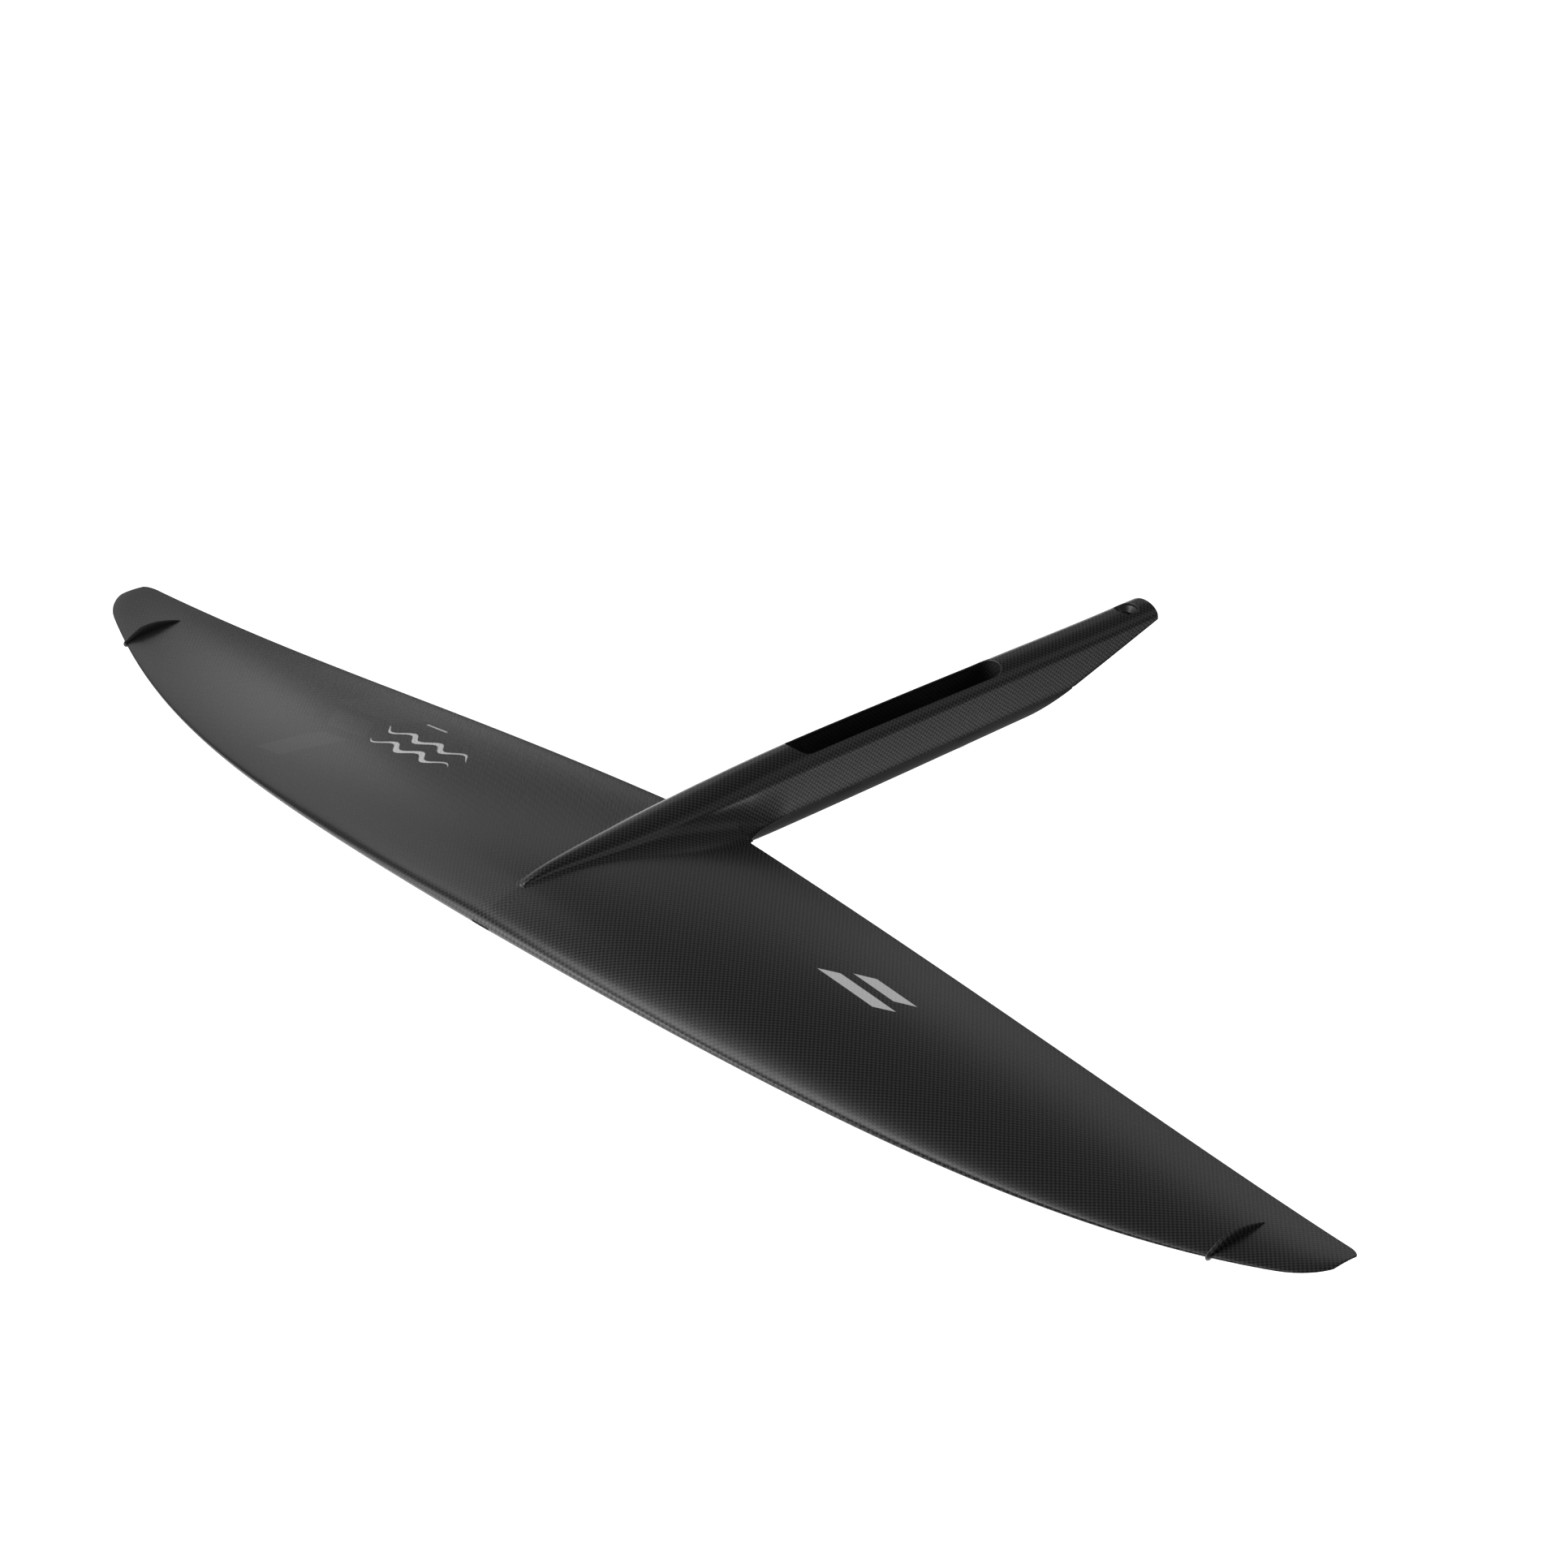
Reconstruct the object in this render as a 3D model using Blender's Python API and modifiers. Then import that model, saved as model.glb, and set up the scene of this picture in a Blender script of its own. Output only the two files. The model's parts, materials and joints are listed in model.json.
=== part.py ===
"""Front wing of a hydrofoil with its fuselage moulded in one, and everything inside it.

The design frame has its zero at the wing's leading edge in the middle of the span: +X runs to
the right tip, +Y aft to the tail and +Z up, away from the belly.  All parts hang under one empty,
which moves that frame so that the world's origin is the centre of the mast socket's floor.
Lengths are metres.
"""
import math

import bmesh
import bpy
import numpy as np

OBJECT_NAME = "hydrofoil_front_wing"

# Wing ---------------------------------------------------------------------------------------
HALF_SPAN = 0.474
ROOT_CHORD = 0.1617
ROOT_THICKNESS = 0.1284      # greatest thickness over chord, in the middle
TIP_THICKNESS = 0.0458       # and at the tips
CAMBER = 0.0253              # rise of the mean line over chord
ROOT_INCIDENCE = 0.0126      # slope of the chord line, trailing edge down
TIP_WASH = 0.0112            # what the slope grows by towards the tip
EDGE_HALF = 0.0004           # half of the blunt edge, all round the wing
NOSE_CORNER = (0.455, 0.013)     # where the tip's front corner starts, and its depth
TAIL_CORNER = (0.466, 0.0045)    # the same for the rear corner
TIP_OVERRUN = 0.0002             # keeps the rounded corners from closing to nothing

# Fuselage -----------------------------------------------------------------------------------
RIDGE_START = 0.027
FUSELAGE_END = 0.483
BELLY_START = 0.045
SEAT_END_Z = 0.0129          # underside of the tail, at its very end
SEAT_SLOPE = 0.277
SEAT_RIM = 0.0010            # height of the lower skin's upstand around the seat
SEAT_STEP = 0.0001           # the upstand leans out by this much

# Skins and gaps -----------------------------------------------------------------------------
GAP = 0.0003
WING_SKIN = 0.0012
BODY_SKIN = 0.0018
THIN_SHARE = 0.45            # a skin takes no more than this share of the room it has
CORE_CLEARANCE = 0.0006      # from the skins to the cores and blocks under them, in height
SIDE_CLEARANCE = 0.0012      # and across the fuselage
PARTING_CLEARANCE = 0.0030   # cores keep this far from the line where the skins meet

# Spar ---------------------------------------------------------------------------------------
SPAR_REACH = 0.330
SPAR_CAP = 0.0008            # thickness of a cap
SPAR_FRONT = 0.22            # the spar's front and rear faces, as fractions of the chord
SPAR_REAR = 0.38
WEB_WIDTH = 0.02             # of the chord
SPAR_TO_CORE = 0.005         # of the chord, between the spar and the foam beside it
TIP_FILL_START = 0.398       # the span over which the tips are solid
TIP_FILL_END = 0.446

# Mast socket --------------------------------------------------------------------------------
SOCKET_Y = 0.2888
SOCKET_FLOOR_Z = -0.0050
SOCKET_HALF_LENGTH = 0.0763
SOCKET_HALF_WIDTH = 0.00884
SOCKET_END = 0.0095          # length of the rounded part at either end
SOCKET_END_POWER = 2.3
SOCKET_WALL = 0.0010
SOCKET_FLOOR = 0.0030
MAST_BOLT_SPACING = 0.090
MAST_BOLT_HOLE = 0.0042      # radius, clears an M8 screw
BUSH_SLEEVE = 0.0060
BUSH_FLANGE = 0.0080
BUSH_BOTTOM_Z = -0.0160
BUSH_FLANGE_HEIGHT = 0.0020
BUSH_LAND = 0.0006           # flat ring round the countersink
BUSH_TOP_GAP = 0.0008        # from the sleeve's top to the socket's floor
BLOCK_CLEARANCE = 0.0007     # from the belly block to the skin
SOCKET_TOP_CLEARANCE = 0.0010

# Tail screw ---------------------------------------------------------------------------------
TAIL_HOLE_Y = 0.4675
TAIL_HOLE_RADIUS = 0.0067
TAIL_SCREW_RADIUS = 0.0034   # clears an M6 screw
TAIL_BUSH_TOP_Z = 0.0199
TAIL_CUP_BOTTOM_Z = 0.0145   # depth of the pocket that the bush sits in
TAIL_BUSH_LAND = 0.0004
TAIL_BUSH_EDGE = 0.0006      # height of the cup's cylindrical edge
TAIL_BUSH_FOOT = 0.0012      # wall under the cone
TAIL_BUSH_WALL = 0.0014      # wall round the screw
TAIL_CORE_LIFT = 0.0080      # from the belly skin up to the tail core's flat underside
TAIL_SEAT_CLEARANCE = 0.0016

# Tip fences ---------------------------------------------------------------------------------
FENCE_X = 0.4251
FENCE_LENGTH = 0.0385
FENCE_WIDTH = 0.0020
FENCE_HEIGHT = 0.0048
FENCE_GAP = 0.0004           # from the wing's skin to the blade's base

# Cutters reach from below the belly to above the crest.
CUT_LOW = -0.0300
CUT_HIGH = 0.0400


def through(*points):
    """A smooth curve through (position, value) points that never overshoots them."""
    knots = np.array([point[0] for point in points])
    values = np.array([point[1] for point in points])
    slope = np.diff(values) / np.diff(knots)
    tangent = np.zeros(len(knots))
    tangent[0] = slope[0]
    tangent[-1] = slope[-1]
    for k in range(1, len(knots) - 1):
        if slope[k - 1] * slope[k] > 0.0:
            tangent[k] = 2.0 * slope[k - 1] * slope[k] / (slope[k - 1] + slope[k])

    def value(position):
        position = min(max(position, knots[0]), knots[-1])
        k = min(int(np.searchsorted(knots, position, side="right")) - 1, len(knots) - 2)
        span = knots[k + 1] - knots[k]
        s = (position - knots[k]) / span
        rise = values[k + 1] - values[k]
        start = tangent[k] * span
        finish = tangent[k + 1] * span
        return float(values[k] + s * (start + s * (3.0 * rise - 2.0 * start - finish
                                                   + s * (start + finish - 2.0 * rise))))

    return value


# Lines along the fuselage, each as (distance aft of the leading edge, value).
crest_z = through((0.027, 0.0116), (0.0276, 0.0126), (0.030, 0.0136), (0.041, 0.0162), (0.052, 0.0175),
                  (0.066, 0.0184), (0.080, 0.0192), (0.108, 0.0206), (0.136, 0.0219), (0.160, 0.0231),
                  (0.182, 0.0243), (0.205, 0.0250), (0.228, 0.0253), (0.318, 0.0240), (0.380, 0.0229),
                  (0.443, 0.0217), (0.483, 0.0215))
shoulder_z = through((0.027, 0.0115), (0.032, 0.0126), (0.041, 0.0136), (0.052, 0.0139), (0.066, 0.0139),
                     (0.094, 0.0133), (0.122, 0.0135), (0.160, 0.0140), (0.443, 0.0138), (0.483, 0.0144))
dome_half = through((0.000, 0.0025), (0.027, 0.0025), (0.041, 0.0038), (0.066, 0.0067), (0.094, 0.0095),
                    (0.122, 0.0115), (0.160, 0.0125), (0.300, 0.0125), (0.380, 0.0119), (0.483, 0.01085))
foot_half = through((0.000, 0.0050), (0.027, 0.0050), (0.046, 0.0072), (0.070, 0.0116), (0.091, 0.0190),
                    (0.112, 0.0270), (0.128, 0.0305), (0.140, 0.0308), (0.1617, 0.0272), (0.1620, 0.0262),
                    (0.1628, 0.0252), (0.1645, 0.0240), (0.167, 0.0226), (0.172, 0.0200), (0.180, 0.0170),
                    (0.190, 0.0148), (0.202, 0.0137), (0.300, 0.0133), (0.380, 0.0125), (0.443, 0.0116),
                    (0.483, 0.01085))
belly_z = through((0.045, -0.0076), (0.070, -0.0092), (0.100, -0.0125), (0.130, -0.0157), (0.165, -0.0181),
                  (0.200, -0.0188), (0.368, -0.0175), (0.483, -0.0165))
belly_half = through((0.000, 0.0030), (0.045, 0.0040), (0.070, 0.0080), (0.100, 0.0110), (0.130, 0.0124),
                     (0.165, 0.0130), (0.200, 0.0135), (0.300, 0.0132), (0.380, 0.0125), (0.443, 0.0116))
belly_shoulder_z = through((0.045, -0.0075), (0.100, -0.0072), (0.130, -0.0070), (0.165, -0.0064),
                           (0.200, -0.0056))
belly_foot_half = through((0.000, 0.0060), (0.045, 0.0080), (0.070, 0.0140), (0.100, 0.0220),
                          (0.130, 0.0268), (0.1617, 0.0272))
side_line_z = through((0.1617, -0.0020), (0.170, -0.0032), (0.182, -0.0045), (0.200, -0.0052))
fillet_curl = through((0.175, 1.0), (0.185, 0.6), (0.200, 0.0))
body_wall = through((RIDGE_START, 0.0009), (0.060, WING_SKIN), (0.140, BODY_SKIN))

WING_ROWS = (0.0, 0.006, 0.02, 0.05, 0.10, 0.17, 0.22, 0.28, 0.36, 0.46, 0.58, 0.70, 0.82, 0.92, 1.0)
BODY_ROWS = (0.1650, 0.1690, 0.1740, 0.1810, 0.1900, 0.2020, 0.2200, 0.2500, 0.3000, 0.3500, 0.3720,
             0.3800, 0.3900, 0.4020, 0.4120, 0.4250, 0.4480, FUSELAGE_END)
WING_COLUMNS = (0.046, 0.085, 0.135, 0.190, 0.245, 0.300, 0.350, 0.393, 0.428, 0.452, 0.465, 0.4715,
                HALF_SPAN)
CENTRE_STATIONS = (0.0, 0.25, 0.5, 0.75, 1.0, 1.35, 1.7, 2.0)


# Wing surfaces ------------------------------------------------------------------------------
def corner(x, start, depth):
    """How far a rounded tip corner cuts into the outline."""
    reach = (abs(x) - start) / (HALF_SPAN + TIP_OVERRUN - start)
    return depth * (1.0 - math.sqrt(1.0 - max(reach, 0.0) ** 2))


def leading_edge(x):
    t = abs(x) / HALF_SPAN
    return 0.1073 * t ** 2 - 0.0092 * t ** 4 + 0.0086 * t ** 6 + corner(x, *NOSE_CORNER)


def trailing_edge(x):
    t = abs(x) / HALF_SPAN
    line = ROOT_CHORD - 0.0386 * t + 0.0600 * t ** 2 - 0.0045 * t ** 3 - 0.0428 * t ** 4
    return line - corner(x, *TAIL_CORNER)


def chord(x):
    return trailing_edge(x) - leading_edge(x)


def wing_middle(x, u):
    """Height of the mean surface at span x and chord fraction u."""
    t = abs(x) / HALF_SPAN
    droop = -0.0790 * t ** 2 + 0.0529 * t ** 4
    slope = ROOT_INCIDENCE + TIP_WASH * t
    return droop + chord(x) * (4.0 * CAMBER * u * (1.0 - u) - slope * u)


def wing_half(x, u):
    """Half thickness of the wing at span x and chord fraction u."""
    ratio = ROOT_THICKNESS + (TIP_THICKNESS - ROOT_THICKNESS) * abs(x) / HALF_SPAN
    shape = 5.0 * (0.2969 * math.sqrt(u) - 0.1260 * u - 0.3516 * u ** 2 + 0.2843 * u ** 3 - 0.1036 * u ** 4)
    return math.hypot(ratio * chord(x) * shape, EDGE_HALF)


def wing_point(x, u, side):
    """A point of the wing's outer surface; side is 1 on top and -1 below."""
    return (x, leading_edge(x) + u * chord(x), wing_middle(x, u) + side * wing_half(x, u))


def wing_fraction(x, y):
    return min(max((y - leading_edge(x)) / chord(x), 0.0), 1.0)


def wing_skin(x, u):
    return min(WING_SKIN, THIN_SHARE * wing_half(x, u))


# Fuselage sections --------------------------------------------------------------------------
def seat_z(y):
    """The flat under the tail, where the stabiliser is screwed on."""
    return SEAT_END_Z - SEAT_SLOPE * (FUSELAGE_END - y)


def parting_z(y):
    """Height of the line where the two skins meet along the fuselage's side."""
    return max(side_line_z(y), seat_z(y) + SEAT_RIM)


def section(y, station, half, foot, shoulder, crest, foot_z):
    """A point (x, z) of a rounded ridge: station 0 to 1 is its dome, 1 to 2 its side and fillet."""
    if station <= 1.0:
        angle = station * math.pi / 2.0
        return half * math.sin(angle), shoulder + (crest - shoulder) * math.cos(angle)
    v = station - 1.0
    curl = fillet_curl(y)
    across = (1.0 - curl) * v + curl * (1.0 - math.cos(v * math.pi / 2.0))
    down = (1.0 - curl) * v + curl * math.sin(v * math.pi / 2.0)
    return half + (foot - half) * across, shoulder + (foot_z - shoulder) * down


def upper_section(y, station):
    half = dome_half(y)
    foot = foot_half(y)
    if y < ROOT_CHORD:
        u = y / ROOT_CHORD
        foot_z = wing_point(foot, u, 1)[2]
        if y < RIDGE_START:
            x = half * station if station < 1.0 else half + (foot - half) * (station - 1.0)
            return x, wing_point(x, u, 1)[2]
        x, z = section(y, station, half, foot, shoulder_z(y), crest_z(y), foot_z)
        return x, max(z, wing_point(x, u, 1)[2])
    edge = parting_z(y) + max(GAP / 2.0, EDGE_HALF * fillet_curl(y))
    return section(y, station, half, foot, shoulder_z(y), crest_z(y), edge)


def lower_section(y, station):
    half = belly_half(y)
    if y < ROOT_CHORD:
        foot = belly_foot_half(y)
        u = y / ROOT_CHORD
        foot_z = wing_point(foot, u, -1)[2]
        if y < BELLY_START:
            x = half * station if station < 1.0 else half + (foot - half) * (station - 1.0)
            return x, wing_point(x, u, -1)[2]
        x, z = section(y, station, half, foot, belly_shoulder_z(y), belly_z(y), foot_z)
        return x, min(z, wing_point(x, u, -1)[2])
    foot = foot_half(y)
    edge = parting_z(y) - max(GAP / 2.0, EDGE_HALF * fillet_curl(y))
    seat = seat_z(y)
    if seat >= belly_shoulder_z(y):
        # Past the belly's rounding the seat is flat from side to side, with a low upstand.
        if station <= 1.0:
            return station * (foot - SEAT_STEP), seat
        return foot, seat + (station - 1.0) * (edge - seat)
    x, z = section(y, station, min(half, foot - SEAT_STEP), foot, belly_shoulder_z(y), belly_z(y), edge)
    return x, max(z, seat)


# Mesh building ------------------------------------------------------------------------------
def finish_mesh(name, bm, material):
    """Turns a bmesh into a named object with its material, under the common empty."""
    bmesh.ops.recalc_face_normals(bm, faces=bm.faces)
    mesh = bpy.data.meshes.new(name)
    bm.to_mesh(mesh)
    bm.free()
    mesh.shade_smooth()
    mesh.set_sharp_from_angle(angle=math.radians(35.0))
    mesh.materials.append(material)
    part = bpy.data.objects.new(name, mesh)
    parts.objects.link(part)
    part.parent = frame
    return part


def loft(name, rings, material):
    """A closed solid through rings of equally many points, capped at both ends."""
    bm = bmesh.new()
    loops = [[bm.verts.new(point) for point in ring] for ring in rings]
    count = len(rings[0])
    for near, far in zip(loops, loops[1:]):
        for k in range(count):
            bm.faces.new((near[k], near[(k + 1) % count], far[(k + 1) % count], far[k]))
    bm.faces.new(loops[0])
    bm.faces.new(list(reversed(loops[-1])))
    return finish_mesh(name, bm, material)


def turned(name, profile, segments, centre, material):
    """A closed profile of (radius, z) points, turned about the vertical through centre."""
    bm = bmesh.new()
    points = [bm.verts.new((radius, 0.0, z)) for radius, z in profile]
    for k, point in enumerate(points):
        bm.edges.new((point, points[(k + 1) % len(points)]))
    mesh = bpy.data.meshes.new(name)
    bm.to_mesh(mesh)
    bm.free()
    mesh.materials.append(material)
    part = bpy.data.objects.new(name, mesh)
    parts.objects.link(part)
    part.parent = frame
    part.location = (centre[0], centre[1], 0.0)
    screw = part.modifiers.new("turn", "SCREW")
    screw.steps = segments
    screw.render_steps = segments
    screw.use_merge_vertices = True
    screw.merge_threshold = 0.00001
    screw.use_smooth_shade = True
    return part


def cut(part, cutter):
    """Takes a cutter's volume out of a part."""
    boolean = part.modifiers.new("cut_" + cutter.name, "BOOLEAN")
    boolean.operation = "DIFFERENCE"
    boolean.solver = "EXACT"
    boolean.object = cutter


def cylinder_cutter(name, radius, centre, low, high, segments=32):
    bm = bmesh.new()
    bmesh.ops.create_cone(bm, cap_ends=True, segments=segments, radius1=radius, radius2=radius,
                          depth=high - low)
    mesh = bpy.data.meshes.new(name)
    bm.to_mesh(mesh)
    bm.free()
    return add_cutter(name, mesh, (centre[0], centre[1], (low + high) / 2.0))


def add_cutter(name, mesh, location):
    cutter = bpy.data.objects.new(name, mesh)
    cutter.hide_render = True
    cutter.display_type = "WIRE"
    cutters.objects.link(cutter)
    cutter.parent = frame
    cutter.location = location
    return cutter


def paint(name, colour, roughness, metallic=0.0, coat=0.0):
    material = bpy.data.materials.new(name)
    material.use_nodes = True
    shader = material.node_tree.nodes["Principled BSDF"]
    shader.inputs["Base Color"].default_value = (*colour, 1.0)
    shader.inputs["Roughness"].default_value = roughness
    shader.inputs["Metallic"].default_value = metallic
    shader.inputs["Coat Weight"].default_value = coat
    material.diffuse_color = (*colour, 1.0)
    return material


# Skins --------------------------------------------------------------------------------------
def skin_grid(side):
    """Outer points of one skin, row by row; rows aft of the wing hold only the fuselage."""
    profile = upper_section if side > 0 else lower_section
    stations = [(-1.0, s) for s in reversed(CENTRE_STATIONS[1:])] + [(1.0, s) for s in CENTRE_STATIONS]
    rows = []
    for u in WING_ROWS:
        row = [wing_point(-x, u, side) for x in reversed(WING_COLUMNS)]
        for hand, station in stations:
            x, z = profile(u * ROOT_CHORD * 0.99999, station)
            row.append((hand * x, leading_edge(x) + u * chord(x), z))
        row += [wing_point(x, u, side) for x in WING_COLUMNS]
        rows.append(row)
    pad = [None] * len(WING_COLUMNS)
    for y in BODY_ROWS:
        row = []
        for hand, station in stations:
            x, z = profile(y, station)
            row.append((hand * x, y, z))
        rows.append(pad + row + pad)
    return rows


def skin_thickness(x, y, z):
    """Wall thickness of a skin at an outer point, and the height that its inside keeps to."""
    if y <= trailing_edge(x) + 1e-6:
        u = wing_fraction(x, y)
        middle = wing_middle(x, u)
        raised = abs(z - middle) > wing_half(x, u) + 0.001
        return min(body_wall(y) if raised else WING_SKIN, THIN_SHARE * abs(z - middle)), middle
    middle = parting_z(y)
    room = max(abs(z - middle), (1.0 - fillet_curl(y)) * 0.010)
    return min(BODY_SKIN, THIN_SHARE * room), middle


def build_skin(name, side, material):
    """One skin: its outer grid, an inner grid set in by the wall, and a rim that joins them."""
    bm = bmesh.new()
    rows = skin_grid(side)
    outer = [[None if p is None else bm.verts.new(p) for p in row] for row in rows]
    for near, far in zip(outer, outer[1:]):
        for k in range(len(near) - 1):
            quad = (near[k], near[k + 1], far[k + 1], far[k])
            if None not in quad:
                bm.faces.new(quad if side > 0 else tuple(reversed(quad)))
    bm.normal_update()
    inner = {}
    for vert in list(bm.verts):
        wall, middle = skin_thickness(*vert.co)
        point = vert.co - vert.normal * wall
        if side > 0:
            point.z = max(point.z, middle + GAP / 2.0)
        else:
            point.z = min(point.z, middle - GAP / 2.0)
        inner[vert] = point
    faces = list(bm.faces)
    rim = [edge for edge in bm.edges if len(edge.link_faces) == 1]
    twin = {vert: bm.verts.new(point) for vert, point in inner.items()}
    for face in faces:
        bm.faces.new([twin[vert] for vert in reversed(face.verts)])
    for edge in rim:
        first, second = edge.verts
        bm.faces.new((first, second, twin[second], twin[first]))
    bmesh.ops.triangulate(bm, faces=bm.faces)
    return finish_mesh(name, bm, material)


# Inside the wing ----------------------------------------------------------------------------
def inside_half(x, u):
    """Half height of the room between the wing's skins."""
    return wing_half(x, u) - wing_skin(x, u) - GAP - 0.0001


def inside_top(x, u):
    return wing_middle(x, u) + inside_half(x, u)


def inside_bottom(x, u):
    return wing_middle(x, u) - inside_half(x, u)


def slab(name, columns, fractions, low, high, material):
    """A piece between two chord fractions; low and high give its bottom and top at (x, u)."""
    rings = []
    for x in columns:
        first, last = fractions(x)
        steps = [first + (last - first) * k / 3.0 for k in range(4)]
        top = [(x, leading_edge(x) + u * chord(x), high(x, u)) for u in steps]
        bottom = [(x, leading_edge(x) + u * chord(x), low(x, u)) for u in reversed(steps)]
        rings.append(top + bottom)
    return loft(name, rings, material)


def spread(first, last, count):
    return [first + (last - first) * k / (count - 1) for k in range(count)]


def build_spar(carbon, foam):
    """A box spar right across the wing: two caps, two webs and the core between them."""
    columns = spread(-SPAR_REACH, SPAR_REACH, 15)

    def cap_width(x):
        return SPAR_FRONT, SPAR_REAR

    def upper_cap_bottom(x, u):
        return inside_top(x, u) - SPAR_CAP

    def lower_cap_top(x, u):
        return inside_bottom(x, u) + SPAR_CAP

    slab("spar_cap_upper", columns, cap_width, upper_cap_bottom, inside_top, carbon)
    slab("spar_cap_lower", columns, cap_width, inside_bottom, lower_cap_top, carbon)

    def web_top(x, u):
        return upper_cap_bottom(x, u) - GAP

    def web_bottom(x, u):
        return lower_cap_top(x, u) + GAP

    def strip(first, last):
        return lambda x: (first + GAP / chord(x), last - GAP / chord(x))

    core_front = SPAR_FRONT + WEB_WIDTH
    core_rear = SPAR_REAR - WEB_WIDTH
    slab("shear_web_front", columns, strip(SPAR_FRONT, core_front), web_bottom, web_top, carbon)
    slab("spar_core", columns, strip(core_front, core_rear), web_bottom, web_top, foam)
    slab("shear_web_rear", columns, strip(core_rear, SPAR_REAR), web_bottom, web_top, carbon)


def build_wing_cores(foam, solid):
    """Foam ahead of and behind the spar on either side, and solid laminate in the tips."""
    def ahead(x):
        return 0.060, SPAR_FRONT - SPAR_TO_CORE

    def behind(x):
        return SPAR_REAR + SPAR_TO_CORE, 0.76 - 0.20 * abs(x) / HALF_SPAN

    def in_tip(x):
        return 0.16, 0.56

    for hand, side in ((-1.0, "left"), (1.0, "right")):
        columns = [hand * x for x in spread(0.0005, TIP_FILL_START - 0.0030, 10)]
        slab(f"core_front_{side}", columns, ahead, inside_bottom, inside_top, foam)
        slab(f"core_rear_{side}", columns, behind, inside_bottom, inside_top, foam)
        columns = [hand * x for x in spread(TIP_FILL_START, TIP_FILL_END, 4)]
        slab(f"tip_fill_{side}", columns, in_tip, inside_bottom, inside_top, solid)


# Inside the fuselage ------------------------------------------------------------------------
def arch(half, low, high, y, steps=7):
    """A ring across the fuselage: an elliptic arch from low up to high, closed by a flat."""
    ring = []
    for k in range(steps):
        angle = math.pi * k / (steps - 1)
        ring.append((half * math.cos(angle), y, low + (high - low) * math.sin(angle)))
    return ring


def core_half(y):
    """Half width of the room under the dome."""
    return dome_half(y) - BODY_SKIN - SIDE_CLEARANCE


def core_top(y):
    return crest_z(y) - BODY_SKIN - CORE_CLEARANCE


def build_ridge_core(foam):
    """Foam under the ridge, from above the wing's middle back to the mast socket."""
    rings = []
    for y in (0.060, 0.085, 0.110, 0.135, 0.158, 0.175, 0.190, 0.2090):
        u = min(y / ROOT_CHORD, 1.0)
        floor = wing_middle(0.0, u) + wing_half(0.0, u) + GAP
        if y > ROOT_CHORD:
            floor = parting_z(y) + PARTING_CLEARANCE
        rings.append(arch(core_half(y), floor, core_top(y), y))
    return loft("ridge_core", rings, foam)


def build_belly_core(foam):
    """Foam in the belly, below the wing's middle."""
    rings = []
    for y in (0.085, 0.110, 0.135, 0.158, 0.175, 0.190, 0.2070):
        u = min(y / ROOT_CHORD, 1.0)
        roof = wing_middle(0.0, u) - wing_half(0.0, u) - GAP
        if y > ROOT_CHORD:
            roof = parting_z(y) - PARTING_CLEARANCE
        half = belly_half(y) - BODY_SKIN - SIDE_CLEARANCE
        rings.append(arch(half, roof, belly_z(y) + BODY_SKIN + CORE_CLEARANCE, y))
    return loft("belly_core", rings, foam)


def socket_outline(grow, count=5):
    """The mast socket's plan, seen from above, as (x, y) points; grow moves it outwards."""
    half_width = SOCKET_HALF_WIDTH + grow
    straight = SOCKET_HALF_LENGTH - SOCKET_END
    end = SOCKET_END + grow
    quarter = []
    for k in range(count + 1):
        angle = math.pi / 2.0 * k / count
        across = half_width * math.cos(angle) ** (2.0 / SOCKET_END_POWER)
        along = straight + end * math.sin(angle) ** (2.0 / SOCKET_END_POWER)
        quarter.append((across, along))
    front_right = [(x, -y) for x, y in reversed(quarter)]
    rear_left = [(-x, y) for x, y in reversed(quarter[:-1])]
    front_left = [(-x, -y) for x, y in quarter[:-1]]
    outline = front_right + [(half_width, -straight / 3.0), (half_width, straight / 3.0)] + quarter
    outline += rear_left + [(-half_width, straight / 3.0), (-half_width, -straight / 3.0)] + front_left
    return [(x, y + SOCKET_Y) for x, y in outline]


def under_dome(x, y):
    """Height just under the upper skin's inner face."""
    half = dome_half(y) - BODY_SKIN
    rise = crest_z(y) - shoulder_z(y) - BODY_SKIN
    return shoulder_z(y) + rise * math.sqrt(max(1.0 - (x / half) ** 2, 0.0)) - SOCKET_TOP_CLEARANCE


def build_mast_socket(material, bolt_cutters):
    """The box that the mast stands in: walls up to the upper skin, and a floor."""
    inner = socket_outline(0.0)
    outer = socket_outline(SOCKET_WALL)
    bottom = SOCKET_FLOOR_Z - SOCKET_FLOOR
    bm = bmesh.new()
    loops = []
    for outline, height in ((outer, None), (inner, None)):
        top = [(x, y, under_dome(x, y)) for x, y in outline]
        base = [(x, y, bottom if outline is outer else SOCKET_FLOOR_Z) for x, y in outline]
        loops.append(([bm.verts.new(p) for p in base], [bm.verts.new(p) for p in top]))
    (outer_base, outer_top), (inner_base, inner_top) = loops
    count = len(inner)
    for low, high in ((outer_base, outer_top), (outer_top, inner_top), (inner_top, inner_base)):
        for k in range(count):
            bm.faces.new((low[k], low[(k + 1) % count], high[(k + 1) % count], high[k]))
    bm.faces.new(list(reversed(outer_base)))
    bm.faces.new(inner_base)
    socket = finish_mesh("mast_socket", bm, material)
    for cutter in bolt_cutters:
        cut(socket, cutter)
    return socket


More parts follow.
